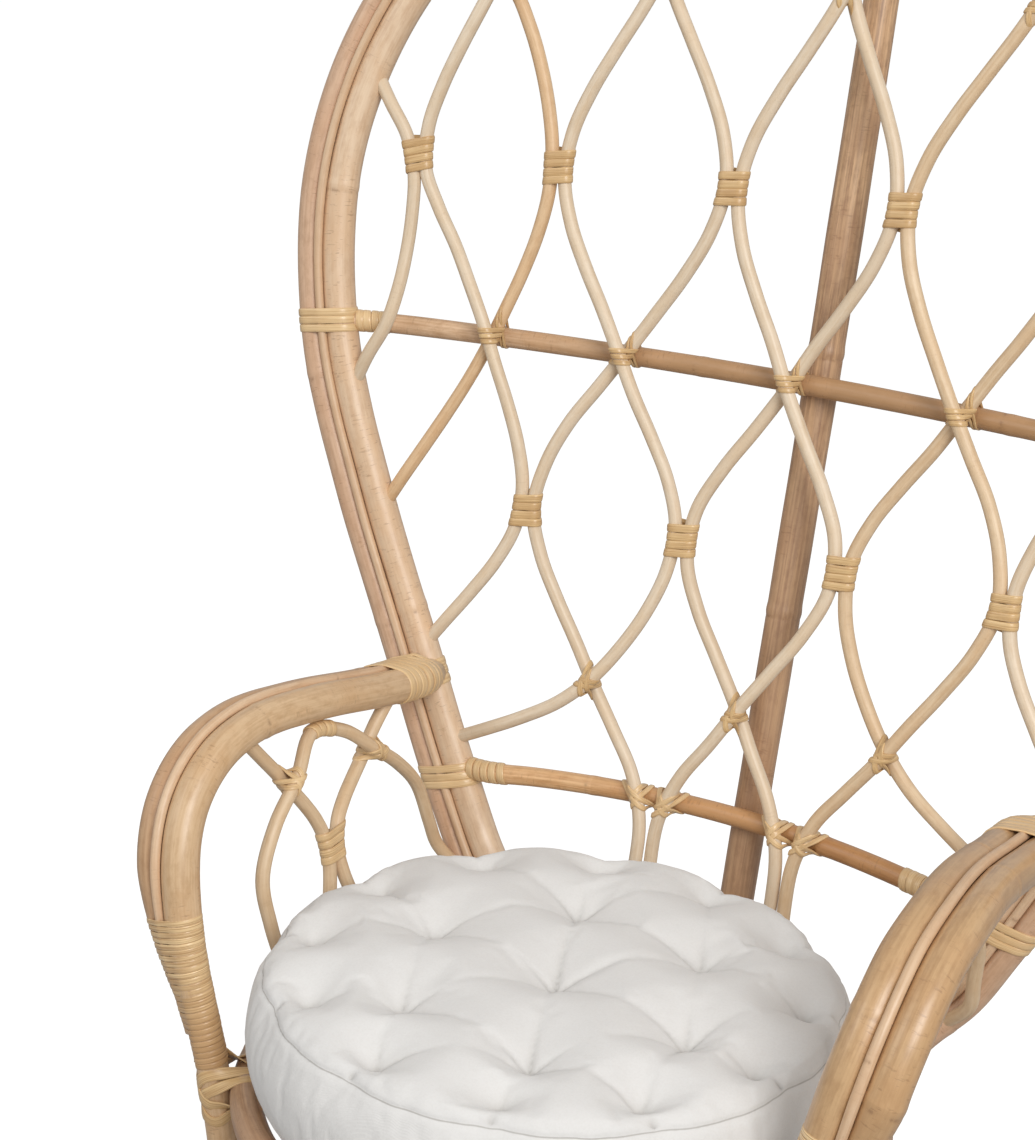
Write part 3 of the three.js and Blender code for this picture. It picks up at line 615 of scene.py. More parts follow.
def wind(peel, guide, lines, start, turns, width, hint, thickness=PEEL_THICKNESS):
    """One unbroken band of peel round some tubes, with its ends on the hint's side."""
    pitch = width + PEEL_GAP
    stops = np.linspace(start, start + turns * pitch, OUTLINES_PER_TURN * turns + 1)
    rings = np.array([outline(lines, guide.at(s), guide.direction(s), hint) for s in stops])
    count = turns * PEEL_PER_TURN
    steps = np.arange(count + 1)
    turned = steps / PEEL_PER_TURN
    slack = peel.rng.uniform(*PHASES)

    def wave(size, rate):
        return size * np.sin(turned * rate + slack)

    places = start + turned * pitch + width * wave(*WANDER_WAVE)
    level = np.clip((places - stops[0]) / (stops[-1] - stops[0]), 0, 1) * (len(stops) - 1)
    low = np.minimum(level.astype(int), len(stops) - 2)
    share = (level - low)[:, None]

    def on_ring(offset):
        place = (turned % 1) * OUTLINE_STEPS + offset
        k = np.floor(place).astype(int)
        part = (place - k)[:, None]
        here, ahead = k % OUTLINE_STEPS, (k + 1) % OUTLINE_STEPS
        below = rings[low, here] * (1 - part) + rings[low, ahead] * part
        above = rings[low + 1, here] * (1 - part) + rings[low + 1, ahead] * part
        return below * (1 - share) + above * share

    axis = guide.direction(places)
    base = guide.at(places) + on_ring(0)
    out = unit(np.cross(on_ring(2) - on_ring(-2), axis))
    out = square_to_tubes(base, axis, out, lines)
    tuck = np.minimum(1, np.minimum(steps + 1, count - steps + 1) / TUCK_STEPS)
    lift = thickness * tuck * (1 + wave(*LIFT_WAVE))
    tint = peel.rng.uniform(*PEEL_TINTS) + wave(*TINT_WAVE)
    add_band(peel, base, out, width, lift, tint)


def square_to_tubes(spots, axis, out, lines):
    """Directions straight out of the tubes under a band, from those in the planes it is wound in."""
    gaps = []
    leans = []
    for line in lines:
        reach = lengths(spots[:, None] - line.points[None])
        nearest = np.argmin(reach, axis=1)
        gaps.append(reach.min(axis=1) - line.radii[nearest])
        way = line.direction(line.places[nearest])
        run = np.sum(way * axis, axis=1)
        run = np.where(run < 0, -1, 1) * np.maximum(np.abs(run), LEAST_RUN)
        leans.append(-np.sum(way * out, axis=1) / run)
    lean = np.array(leans)[np.argmin(gaps, axis=0), np.arange(len(spots))]
    padded = np.pad(lean, LEAN_STEPS // 2, mode="edge")
    lean = np.convolve(padded, np.ones(LEAN_STEPS) / LEAN_STEPS, mode="valid")
    return unit(out + lean[:, None] * axis)


def add_band(peel, path, out, width, lift, tint):
    """A flat band of peel along a path, with its face turned out."""
    across = unit(np.cross(out, np.gradient(path, axis=0)))
    profile = np.array(PEEL_PROFILE)[::-1]
    height = profile[:, 1] * lift[:, None]
    aside = np.broadcast_to(profile[:, 0] * width, height.shape)
    rows = path[:, None] + aside[..., None] * across[:, None]
    rows = rows + (height - PEEL_SEAT)[..., None] * out[:, None]
    run = run_along(path)[:, None] + peel.rng.uniform(*GRAIN_STARTS)
    grain = np.stack([aside, height, np.broadcast_to(run, height.shape)], axis=2)
    peel.add_rows(rows, grain, tint, np.zeros(len(rows)))


def straight(spot, axis):
    """A short straight guide line through a spot."""
    reach = axis * GUIDE_REACH
    return Line([spot - reach, spot, spot + reach], [PEEL_THICKNESS] * 3)


def outward(spot):
    """The level direction from the chair's middle to a spot."""
    return unit(np.array([spot[0], spot[1] - CUSHION_Y, 0]))


def meeting(a, b, height, reach=MEETING_REACH):
    """Where two lines come closest near a height: the spot between them and their directions."""
    inside = np.nonzero(np.abs(a.points[:, 2] - height) < reach)[0]
    best = min(inside, key=lambda k: lengths(b.points - a.points[k]).min())
    place_a = a.places[best]
    place_b = b.nearest(a.points[best])
    way_a = a.direction(place_a)
    way_b = b.direction(place_b)
    if way_a[2] * way_b[2] < 0:
        way_b = -way_b
    return (a.at(place_a) + b.at(place_b)) / 2, way_a, way_b


def centred_wind(peel, guide, spot, lines, band, hint):
    """A band whose middle is at a spot on the guide."""
    turns, width = band
    start = guide.nearest(spot) - turns * (width + PEEL_GAP) / 2
    wind(peel, guide, lines, start, turns, width, hint)


def bind(peel, a, b, height, band, signs=(1,), side=1, reach=MEETING_REACH):
    """Bands round two tubes that meet near a height. Each goes along the sum of the tubes' directions for
    sign 1 and along the difference for sign -1. Side -1 puts its ends on the inner side.
    """
    spot, way_a, way_b = meeting(a, b, height, reach)
    for sign in signs:
        guide = straight(spot, unit(way_a + sign * way_b))
        centred_wind(peel, guide, spot, [a, b], band, side * outward(spot))
    return spot, way_a


def inside_box(line, node):
    """Which of a line's points lie inside a CAD node's box."""
    low, high = (np.array(corner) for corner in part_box(node))
    return np.all((line.points > low) & (line.points < high), axis=1)


# Materials

class Shader:
    """A node material with a principled surface."""

    def __init__(self, name):
        self.material = bpy.data.materials.new(name)
        self.material.use_nodes = True
        self.tree = self.material.node_tree
        self.surface = self.tree.nodes["Principled BSDF"]

    def node(self, kind, settings=None, **inputs):
        made = self.tree.nodes.new(kind)
        for key, value in (settings or {}).items():
            setattr(made, key, value)
        self.feed_all(made, inputs)
        return made

    def feed(self, socket, value):
        if isinstance(value, bpy.types.NodeSocket):
            self.tree.links.new(value, socket)
        else:
            socket.default_value = value

    def feed_all(self, node, inputs):
        for key, value in inputs.items():
            self.feed(node.inputs[key.replace("_", " ")], value)

    def set(self, **inputs):
        self.feed_all(self.surface, inputs)

    def attribute(self, name, output="Fac"):
        return self.node("ShaderNodeAttribute", {"attribute_name": name}).outputs[output]

    def noise(self, vector, scale, stretch, detail=3.0, roughness=0.55):
        mapped = self.node("ShaderNodeMapping", Vector=vector, Scale=stretch).outputs[0]
        settings = {"Scale": scale, "Detail": detail, "Roughness": roughness}
        return self.node("ShaderNodeTexNoise", Vector=mapped, **settings).outputs["Fac"]

    def math(self, operation, a, b):
        made = self.node("ShaderNodeMath", {"operation": operation})
        self.feed(made.inputs[0], a)
        self.feed(made.inputs[1], b)
        return made.outputs[0]

    def plus(self, a, b):
        return self.math("ADD", a, b)

    def times(self, a, b):
        return self.math("MULTIPLY", a, b)

    def spread(self, value, low, high):
        """A value stretched so that low gives 0 and high gives 1."""
        settings = {"interpolation_type": "SMOOTHSTEP"}
        return self.node("ShaderNodeMapRange", settings, Value=value, From_Min=low, From_Max=high).outputs[0]

    def mix(self, share, a, b):
        return self.node("ShaderNodeMix", {"data_type": "RGBA"}, Factor=share, A=a, B=b).outputs["Result"]

    def stain(self, colour, other, value, low, high, share):
        """A colour that turns to another, at most by a share, as a value rises from low to high."""
        return self.mix(self.times(self.spread(value, low, high), share), colour, other)

    def toward_far_end(self, colour, far_end):
        """A colour that turns to another along a piece: far_end is an axis, two places and a colour."""
        if far_end is None:
            return colour
        axis, start, end, other = far_end
        place = self.node("ShaderNodeTexCoord").outputs["Object"]
        split = self.node("ShaderNodeSeparateXYZ", Vector=place)
        return self.mix(self.spread(split.outputs[axis], start, end), colour, srgb(other))

    def bump(self, height, strength, distance):
        made = self.node("ShaderNodeBump", Height=height, Strength=strength, Distance=distance)
        self.set(Normal=made.outputs[0])


DARK_SCAR = srgb((128, 88, 56))
# Painted shade: the grey that the cushion's deep creases and seam line are darkened towards
PAINTED_CREASE_SHADE = srgb((150, 144, 136))


def rattan(name, light, dark, warm, roughness, coat, streak=POLE_STREAK, cracking=POLE_CRACKS, far_end=None):
    """Rattan with streaks along the pole, uneven stretches between the growth rings, fine cracks and scars.

    Colours are display values. cracking is how dark the cracks are, and far_end is as in toward_far_end.
    """
    shader = Shader(name)
    light, dark, warm = srgb(light), srgb(dark), srgb(warm)
    grain = shader.attribute("grain", "Vector")
    fibres = shader.noise(grain, 420, (1, 1, 0.025), 4, 0.6)
    stripes = shader.noise(grain, 110, (1, 1, 0.05), 2)
    patches = shader.noise(grain, 26, (1, 1, 0.6), 3)
    mottle = shader.noise(grain, 150, (1, 1, 0.45), 4, 0.65)
    flecks = shader.noise(grain, 900, (1, 1, 0.25), 2)
    cracks = shader.noise(grain, 300, (0.3, 0.3, 1.6), 3, 0.65)
    shade = shader.plus(shader.times(fibres, streak), shader.times(stripes, STRIPE_SHARE))
    shade = shader.plus(shade, shader.times(mottle, MOTTLE_SHARE))
    total = streak + STRIPE_SHARE + MOTTLE_SHARE
    bright = shader.toward_far_end(light, far_end)
    colour = shader.mix(shader.spread(shade, 0.34 * total, 0.66 * total), dark, bright)
    colour = shader.stain(colour, warm, patches, 0.42, 0.68, 0.55)
    colour = shader.stain(colour, dark, shader.attribute("tint"), 0.35, 1.0, 0.30)
    colour = shader.stain(colour, dark, mottle, 0.52, 0.74, 0.30)
    colour = shader.stain(colour, DARK_SCAR, flecks, 0.66, 0.80, 0.22)
    cracked = shader.times(shader.spread(cracks, 0.58, 0.66), shader.spread(patches, 0.44, 0.60))
    colour = shader.mix(shader.times(cracked, cracking), colour, DARK_SCAR)
    scarred = shader.times(shader.attribute("ring"), shader.spread(mottle, 0.44, 0.66))
    colour = shader.mix(shader.times(scarred, 0.55), colour, DARK_SCAR)
    low, high = roughness - 0.08, roughness + 0.10
    rough = shader.node("ShaderNodeMapRange", Value=patches, To_Min=low, To_Max=high)
    shader.set(Base_Color=colour, Roughness=rough.outputs[0], Specular_IOR_Level=0.5)
    shader.set(Coat_Weight=coat, Coat_Roughness=0.34)
    height = shader.plus(fibres, shader.times(flecks, 0.4))
    shader.bump(shader.math("SUBTRACT", height, shader.times(cracked, 0.5)), 0.22, 0.0006)
    return shader.material


def peel_strip(name, light, dark, far_end=None):
    """Shiny rattan skin: fine lines along the strip and drier stretches. Colours are as for rattan."""
    shader = Shader(name)
    light, dark = srgb(light), srgb(dark)
    grain = shader.attribute("grain", "Vector")
    lines = shader.noise(grain, 1400, (1, 1, 0.012), 3, 0.6)
    stains = shader.noise(grain, 60, (1, 1, 0.5), 3)
    colour = shader.mix(shader.spread(lines, 0.32, 0.62), dark, shader.toward_far_end(light, far_end))
    colour = shader.stain(colour, dark, stains, 0.45, 0.75, 0.5)
    colour = shader.stain(colour, dark, shader.attribute("tint"), 0.3, 1.1, 0.4)
    shader.set(Base_Color=colour, Roughness=0.36, Coat_Weight=0.35, Coat_Roughness=0.22)
    shader.bump(lines, 0.25, 0.0004)
    return shader.material


def cotton(name, colour, shade):
    """Plain woven cotton: a fine weave, soft creases, a dull sheen, and painted shade in the deep creases
    and along the seam.
    """
    shader = Shader(name)
    place = shader.node("ShaderNodeTexCoord").outputs["Object"]
    creases = shader.noise(place, 34, (1, 1, 1), 4, 0.6)
    fuzz = shader.noise(place, 520, (1, 1, 1), 2)
    threads = [
        shader.node("ShaderNodeTexWave", {"bands_direction": way}, Vector=place, Scale=420.0).outputs["Fac"]
        for way in "XY"
    ]
    weave = shader.math("MAXIMUM", *threads)
    # Painted shade: the deep creases and the seam line darken the cloth towards a grey
    crease_shade = shader.times(shader.attribute("crease"), 0.6)
    past_seam = shader.math("ABSOLUTE", shader.attribute("past_seam"), 0)
    seam_shade = shader.times(shader.spread(past_seam, SEAM_SHADE_WIDTH, 0), 0.6)
    colour = shader.stain(srgb(colour), srgb(shade), fuzz, 0.35, 0.75, 0.35)
    colour = shader.mix(shader.math("MAXIMUM", crease_shade, seam_shade), colour, PAINTED_CREASE_SHADE)
    shader.set(Base_Color=colour, Roughness=0.92, Specular_IOR_Level=0.2)
    shader.set(Sheen_Weight=0.25, Sheen_Roughness=0.5)
    shader.bump(shader.plus(creases, shader.times(weave, 0.12)), 0.35, 0.003)
    return shader.material


honey_pole = rattan("honey_pole", (240, 213, 181), (210, 175, 140), (226, 187, 146), 0.40, 0.50)
rosy_pole = rattan("rosy_pole", (226, 190, 158), (192, 154, 122), (212, 168, 132), 0.42, 0.40)
olive_pole = rattan("olive_pole", (228, 196, 156), (194, 157, 115), (212, 170, 123), 0.40, 0.50)
golden_pole = rattan("golden_pole", (208, 171, 132), (174, 135, 98), (194, 150, 109), 0.40, 0.45)
amber_pole = rattan("amber_pole", (212, 175, 129), (176, 137, 95), (200, 155, 107), 0.34, 0.65)
pale_reed = rattan(
    "pale_reed", (232, 203, 170), (202, 165, 128), (222, 184, 146), 0.42, 0.20, 0.6, CANE_CRACKS)
cream_cane = rattan("cream_cane", (236, 219, 195), (216, 191, 159), (226, 200, 166), **CANE_LOOK)
straw_cane = rattan("straw_cane", (234, 209, 175), (209, 177, 138), (222, 188, 147), **CANE_LOOK)
tan_cane = rattan("tan_cane", (234, 201, 160), (206, 166, 122), (222, 180, 134), **CANE_LOOK)
upper_tan = rattan(
    "upper_bar_tan", (242, 208, 172), (184, 144, 105), (200, 156, 113), 0.44, 0.20, 0.5,
    far_end=("X", -0.38, -0.08, (176, 134, 91)))
lower_orange = rattan(
    "lower_bar_orange", (248, 206, 156), (194, 144, 94), (212, 158, 104), 0.36, 0.30, 0.6,
    far_end=("X", -0.2, 0.15, (164, 110, 62)))
# The strut turns lighter towards its top: partly its own tone, partly painted shade on its lower part behind
# the back's lattice
strut_brown = rattan(
    "strut_brown", (202, 164, 127), (156, 119, 90), (180, 138, 103), 0.40, 0.30, 0.7,
    far_end=("Z", 0.6, 1.2, (240, 198, 152)))
split_slat = rattan("split_slat", (200, 164, 124), (160, 122, 86), (184, 142, 100), 0.5, 0.1, 0.8)
peel_light = peel_strip("peel_light", (238, 206, 157), (208, 170, 121))
peel_olive = peel_strip("peel_olive", (230, 196, 143), (192, 151, 101))
peel_post = peel_strip("peel_post", (210, 170, 122), (184, 143, 97), ("Z", 0.39, 0.46, (252, 222, 170)))
white_cotton = cotton("white_cotton", (228, 226, 223), (219, 216, 212))


# Poles and canes in place of the CAD tubes

CANE_HOSTS = (
    "hoop_inner_pole", "hoop_outer_pole", "seat_ring", "floor_ring",
    "arm_inner_pole_left", "arm_inner_pole_right",
)
ARM_HOSTS = ("hoop_inner_pole", "floor_ring")
ARM_LOOKS = {"left": (olive_pole, golden_pole), "right": (amber_pole, amber_pole)}


@functools.cache
def tube_line(node):
    """The line of a CAD tube, read once. Canes, bars and arms run on into the tubes that they meet."""
    if "cane" in node or "bar" in node:
        return read_tube(node, [tube_line(host) for host in CANE_HOSTS])
    if "arm_inner" in node:
        return read_tube(node, [tube_line(host) for host in ARM_HOSTS], ARM_SINK)
    return read_tube(node, bare_start="arm_reed" in node)


def pole(node, material, growth=POLE_GROWTH):
    """A pole with growth rings."""
    rng = random.Random(node)
    line = tube_line(node)
    ring_gap, swell = growth
    rings = growth_rings(line.length, ring_gap, rng)
    shape = rattan_tube(line, POLE_SIDES, POLE_STEP, rings, swell, rng)
    stand_in(node, "_round", shape, material)


def cane(node, material):
    """A thin cane, which shows no growth rings."""
    shape = rattan_tube(tube_line(node), CANE_SIDES, CANE_STEP, np.array([]), 0, random.Random(node))
    stand_in(node, "_round", shape, material)


pole("hoop_inner_pole", honey_pole)
pole("hoop_outer_pole", rosy_pole)
pole("hoop_reed", pale_reed, growth=REED_GROWTH)
pole("upper_bar", upper_tan, BAR_GROWTH)
pole("lower_bar", lower_orange, BAR_GROWTH)
pole("spine_pole", strut_brown, STRUT_GROWTH)
pole("seat_ring", strut_brown)
pole("floor_ring", strut_brown)
for word in SIDES:
    inner_look, outer_look = ARM_LOOKS[word]
    pole(f"arm_inner_pole_{word}", inner_look)
    pole(f"arm_outer_pole_{word}", outer_look)
    pole(f"arm_reed_{word}", pale_reed, growth=REED_GROWTH)
    for part in ("middle", "wing", "rim"):
        cane(f"back_cane_{part}_{word}", cream_cane)
    for part in ("inner", "outer"):
        cane(f"back_cane_{part}_{word}", straw_cane if word == "right" else cream_cane)
    cane(f"back_cane_brace_{word}", tan_cane if word == "left" else cream_cane)
    for part in ("arch", "front", "rear"):
        cane(f"arm_cane_{part}_{word}", straw_cane)
for number in ROW_NUMBERS:
    for part in ("front", "back"):
        cane(f"base_cane_{number}_{part}", cream_cane)


# Slats of the seat, with rounded edges

for number in ROW_NUMBERS:
    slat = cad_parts[f"seat_slat_{number}"]
    slat.data.materials.clear()
    slat.data.materials.append(split_slat)
    rounding = slat.modifiers.new("rounding", "BEVEL")
    rounding.width = SLAT_ROUNDING
    rounding.segments = SLAT_ROUNDING_STEPS


# Peel bindings

HOOP = [tube_line(node) for node in ("hoop_inner_pole", "hoop_outer_pole", "hoop_reed")]
UPPER_BAR = tube_line("upper_bar")
LOWER_BAR = tube_line("lower_bar")
SEAT_RING = tube_line("seat_ring")


def pair_wrap(name, a, b, height, material):
    """Peel round two canes that lie side by side."""
    peel = Peel(name)
    bind(peel, a, b, height, PAIR_BAND, reach=LINE_STEP)
    peel.put_on(material)


def cross_tie(name, a, b, height, material, band=TIE_BAND, side=1):
    """Peel wound both ways round two tubes that cross."""
    peel = Peel(name)
    bind(peel, a, b, height, band, (1, -1), side)
    peel.put_on(material)


def bar_tie(name, a, b, material):
    """Peel round two canes that cross on the upper bar, with a knot on the bar beside them."""
    peel = Peel(name)
    spot, way_a = bind(peel, a, b, UPPER_BAR_Z, BAR_TIE_BAND)
    rising = a if way_a[0] * way_a[2] > 0 else b
    knot = spot + np.array([KNOT_SHIFT, 0, 0])
    centred_wind(peel, UPPER_BAR, knot, [rising, UPPER_BAR], KNOT_BAND, outward(spot))
    peel.put_on(material)


def collar(name, line, start, turns, material):
    """Peel round one tube."""
    peel = Peel(name)
    wind(peel, line, [line], start, turns, PEEL_WIDTH, outward(line.at(start)))
    peel.put_on(material)


def hoop_binding(node, material):
    """Wound peel in place of a CAD binding round the leaning hoop, between level and square to its poles."""
    peel = Peel(node)
    spot = HOOP[0].points[inside_box(HOOP[0], node)].mean(axis=0)
    way = HOOP[0].direction(HOOP[0].nearest(spot))
    guide = straight(spot, unit(BACK_UP + way * np.sign(way[2])))
    centred_wind(peel, guide, spot, HOOP, HOOP_BAND, outward(spot))
    peel.replace_node(material)


def post_binding(node, arm, material):
    """Wound peel in place of the CAD binding on a front post, along what its box holds of the post."""
    peel = Peel(node)
    held = arm[0].places[inside_box(arm[0], node)]
    start = held.min()
    width = (held.max() - start) / POST_TURNS - PEEL_GAP
    wind(peel, arm[0], arm, start, POST_TURNS, width, outward(arm[0].at(start)), POST_PEEL_THICKNESS)
    peel.replace_node(material)


def arm_end_binding(node, arm, material):
    """Wound peel in place of the CAD binding on an arm's rear end, and round the hoop there."""
    peel = Peel(node)
    held = arm[0].places[inside_box(arm[0], node)]
    width = (held.max() + ARM_END_MORE - ARM_END_START) / ARM_END_TURNS - PEEL_GAP
    end = arm[0].at(0)
    wind(peel, arm[0], arm, ARM_END_START, ARM_END_TURNS, width, outward(end))
    place = HOOP[0].nearest(end)
    spot = HOOP[0].at(place)
    guide = straight(spot, HOOP[0].direction(place))
    centred_wind(peel, guide, spot, HOOP, ARM_HOOP_BAND, outward(end))
    peel.replace_node(material)


def back_bindings(word, other):
    """Wraps and ties of the back on one side. The middle canes reach over to the other side."""
    middle, inner, outer, wing, brace, rim = (tube_line(f"back_cane_{part}_{word}") for part in BACK_CANES)
    other_middle = tube_line(f"back_cane_middle_{other}")
    for part, a, b in (("outer", outer, other_middle), ("wing", inner, wing)):
        pair_wrap(f"wrap_low_{part}_{word}", a, b, WRAP_LOW_Z, peel_olive)
    for part, a, b in (("inner", middle, inner), ("brace", outer, brace), ("rim", wing, rim)):
        pair_wrap(f"wrap_high_{part}_{word}", a, b, WRAP_HIGH_Z, peel_olive)
    cross_tie(f"tie_low_side_{word}", inner, outer, CROSS_LOW_Z, peel_olive)
    bar_tie(f"tie_bar_side_{word}", inner, outer, peel_olive)
    bar_tie(f"tie_bar_wing_{word}", wing, brace, peel_olive)
    cross_tie(f"tie_high_side_{word}", inner, outer, CROSS_HIGH_Z, peel_olive)
    cross_tie(f"tie_high_wing_{word}", wing, brace, CROSS_HIGH_Z, peel_olive)
    for part, line in (("middle", middle), ("inner", inner)):
        cross_tie(f"tie_lower_{part}_{word}", line, LOWER_BAR, LOWER_BAR_Z, peel_light)
    for bar in ("upper", "lower"):
        hoop_binding(f"{bar}_bar_binding_{word}", peel_light)


def arm_bindings(word):
    arm = [tube_line(f"arm_{part}_{word}") for part in ("inner_pole", "outer_pole", "reed")]
    front, rear, arch = (tube_line(f"arm_cane_{part}_{word}") for part in ("front", "rear", "arch"))
    post_binding(f"post_binding_{word}", arm, peel_post)
    arm_end_binding(f"arm_end_binding_{word}", arm, peel_light)
    cross_tie(f"arm_tie_front_{word}", arch, front, ARM_FRONT_TIE_Z, peel_light)
    cross_tie(f"arm_tie_rear_{word}", arch, rear, ARM_REAR_TIE_Z, peel_light)
    pair_wrap(f"arm_wrap_{word}", front, rear, ARM_WRAP_Z, peel_light)
    top = arch.places[np.argmax(arch.points[:, 2])]
    rearward = np.sign(arch.direction(top)[1]) * ARCH_WRAP_SHIFT
    start = top + rearward - ARCH_WRAP_TURNS / 2 * PEEL_WIDTH
    collar(f"arm_arch_wrap_{word}", arch, start, ARCH_WRAP_TURNS, peel_light)
    cross_tie(f"post_tie_{word}", arm[0], SEAT_RING, POST_TIE_Z, peel_olive, band=POST_TIE_BAND)


for word, other in (SIDES, SIDES[::-1]):
    back_bindings(word, other)
    arm_bindings(word)
middles = [tube_line(f"back_cane_middle_{word}") for word in SIDES]
cross_tie("tie_low_middle", *middles, CROSS_LOW_Z, peel_olive)
bar_tie("tie_bar_middle", *middles, peel_olive)
cross_tie("tie_high_middle", *middles, CROSS_HIGH_Z, peel_olive)
for name, bar in (("upper", UPPER_BAR), ("lower", LOWER_BAR)):
    left_turns, right_turns = COLLAR_TURNS[name]
    clear = HOOP[0].radius(0)
    left_start = bar.length - clear - left_turns * (PEEL_WIDTH + PEEL_GAP)
    collar(f"{name}_bar_collar_right", bar, clear, right_turns, peel_light)
    collar(f"{name}_bar_collar_left", bar, left_start, left_turns, peel_light)
for number in ROW_NUMBERS:
    front, back = (tube_line(f"base_cane_{number}_{part}") for part in ("front", "back"))
    cross_tie(f"base_tie_{number}", front, back, BASE_TIE_Z, peel_olive, side=-1)


# The cushion: a round boxed pad of white cotton, drawn in by tufts

class Fold:
    """A fold of the cushion's top. It fades from the tufts at its ends, at rates of their own."""

    def __init__(self, start, end, rng):
        self.start, self.end = start, end
        self.fades = rng.uniform(*FOLD_FADE), rng.uniform(*FOLD_FADE)

    def reach(self, spots):
        """Each spot's distance from the fold, and the fold's strength beside it, 1 at the tufts."""
        step = self.end - self.start
        along = np.clip((spots - self.start) @ step / np.dot(step, step), 0, 1)
        gap = lengths(spots - self.start - along[:, None] * step)
        return gap, np.maximum((1 - along) ** self.fades[0], along ** self.fades[1])


def tuft_spots():
    """One tuft in the middle, a ring round it and a ring near the edge."""
    middle = np.array([TUFT_MIDDLE])
    inner = middle + TUFT_RING * circle(TUFT_RING_COUNT, TUFT_RING_TURN)
    return np.concatenate([middle, inner, TUFT_EDGE * circle(TUFT_EDGE_COUNT, TUFT_EDGE_TURN)])


def fold_lines(tufts):
    """Folds between neighbouring tufts, and from the tufts near the edge to the rim."""
    rng = random.Random("folds")
    first_edge = 1 + TUFT_RING_COUNT
    folds = []
    for i, a in enumerate(tufts[:first_edge]):
        folds += [Fold(a, b, rng) for b in tufts[i + 1:] if lengths(b - a) < FOLD_SPAN]
    folds += [Fold(a, unit(a) * (CUSHION_RADIUS - FOLD_STOP), rng) for a in tufts[first_edge:]]
    return folds


def cushion_top(spots, folds):
    """Height of the top over its edge at spots measured from the cushion's middle: plump between folds."""
    far = lengths(spots)
    height = CUSHION_CROWN * np.sqrt(np.clip(1 - (far / CUSHION_RADIUS) ** CROWN_FLATNESS, 0, 1))
    drawn = np.zeros(len(spots))
    for fold in folds:
        gap, strength = fold.reach(spots)
        pull = strength * (1 - np.minimum(gap / PUFF_REACH, 1)) ** FOLD_ROUNDNESS
        drawn = np.maximum(drawn, TUFT_DEPTH * pull)
    return height - drawn * np.clip((CUSHION_RADIUS - far) / EDGE_FADE, EDGE_LEAST, 1)


def cushion_shape(folds):
    """The cushion's closed surface as rings round its middle, from the top's middle to the bottom's."""
    rings = [(CUSHION_RADIUS * share, None) for share in np.linspace(FIRST_SHARE, 1, TOP_RINGS)]
    drop = CUSHION_EDGE_Z - CUSHION_BOTTOM_Z
    for share in np.linspace(0, 1, SIDE_RINGS)[1:]:
        bulge = CUSHION_BULGE * math.sin(math.pi * share) ** BULGE_ROUNDNESS
        rings.append((CUSHION_RADIUS + bulge - CUSHION_DRAW_IN * share, CUSHION_EDGE_Z - drop * share))
    for share in np.linspace(BOTTOM_SHARE, FIRST_SHARE, BOTTOM_RINGS):
        rings.append((CUSHION_RADIUS * share, CUSHION_BOTTOM_Z))
    rows = []
    for radius, level in rings:
        spots = radius * circle(CUSHION_SIDES)
        rise = CUSHION_EDGE_Z + cushion_top(spots, folds) if level is None else np.full(len(spots), level)
        rows.append(np.column_stack([spots[:, 0], spots[:, 1] + CUSHION_Y, rise]))
    rows = np.array(rows)
    shape = Shape()
    shape.add_rows(rows, rows, np.zeros(len(rows)), np.zeros(len(rows)))
    shape.faces = [face[::-1] for face in shape.faces]
    return shape


def keep_modifiers(piece):
    """Applies a piece's modifiers for good."""
    bpy.ops.object.select_all(action="DESELECT")
    piece.select_set(True)
    bpy.context.view_layer.objects.active = piece
    for modifier in list(piece.modifiers):
        bpy.ops.object.modifier_apply(modifier=modifier.name)


def corner_array(piece):
    flat = np.empty(len(piece.data.vertices) * 3)
    piece.data.vertices.foreach_get("co", flat)
    return flat.reshape(-1, 3)


def from_tufts(spots, tufts):
    """How far each spot is from the nearest tuft."""
    return lengths(spots[:, None] - tufts[None]).min(axis=1)


def inflate(piece, tufts):
    """Cloth under pressure, held at the tufts, the seam and the bottom."""
    before = corner_array(piece)
    spots = before[:, :2] - (0, CUSHION_Y)
    rise = before[:, 2] - CUSHION_EDGE_Z
    tufted = (rise > -TOP_REACH) & (from_tufts(spots, tufts) < TUFT_HOLD)
    seam = (np.abs(lengths(spots) - CUSHION_RADIUS) < SEAM_HOLD) & (np.abs(rise) < SEAM_HOLD_HEIGHT)
    bottom = before[:, 2] < CUSHION_BOTTOM_Z + BOTTOM_HOLD
    held = piece.vertex_groups.new(name="held")
    held.add(np.nonzero(tufted | bottom)[0].tolist(), 1.0, "REPLACE")
    held.add(np.nonzero(seam)[0].tolist(), SEAM_GRIP, "REPLACE")
    cloth = piece.modifiers.new("cloth", "CLOTH")
    settings = cloth.settings
    settings.vertex_group_mass = "held"
    settings.quality = 6
    settings.mass = 0.2
    settings.tension_stiffness = 20
    settings.compression_stiffness = 12
    settings.shear_stiffness = 8
    settings.bending_stiffness = 0.6
    settings.shrink_min = -0.015
    settings.use_pressure = True
    settings.uniform_pressure_force = 4
    settings.effector_weights.gravity = 0
    cloth.collision_settings.use_collision = False
    cloth.point_cache.frame_start = 1
    cloth.point_cache.frame_end = CLOTH_FRAMES
    for number in range(1, CLOTH_FRAMES + 1):
        bpy.context.scene.frame_set(number)
    keep_modifiers(piece)
    bpy.context.scene.frame_set(1)
    move = corner_array(piece) - before
    move *= np.minimum(1, CLOTH_CAP / np.maximum(lengths(move), TINY))[:, None]
    piece.data.vertices.foreach_set("co", (before + move).reshape(-1))


def crease_depth(spots, tufts, folds):
    """How deep the narrow creases along the folds and the pinched tufts are."""
    depth = PINCH_DEPTH * np.exp(-from_tufts(spots, tufts) / PINCH_WIDTH)
    for fold in folds:
        gap, strength = fold.reach(spots)
        depth = np.maximum(depth, CREASE_DEPTH * np.exp(-gap / CREASE_WIDTH) * strength)
    return depth


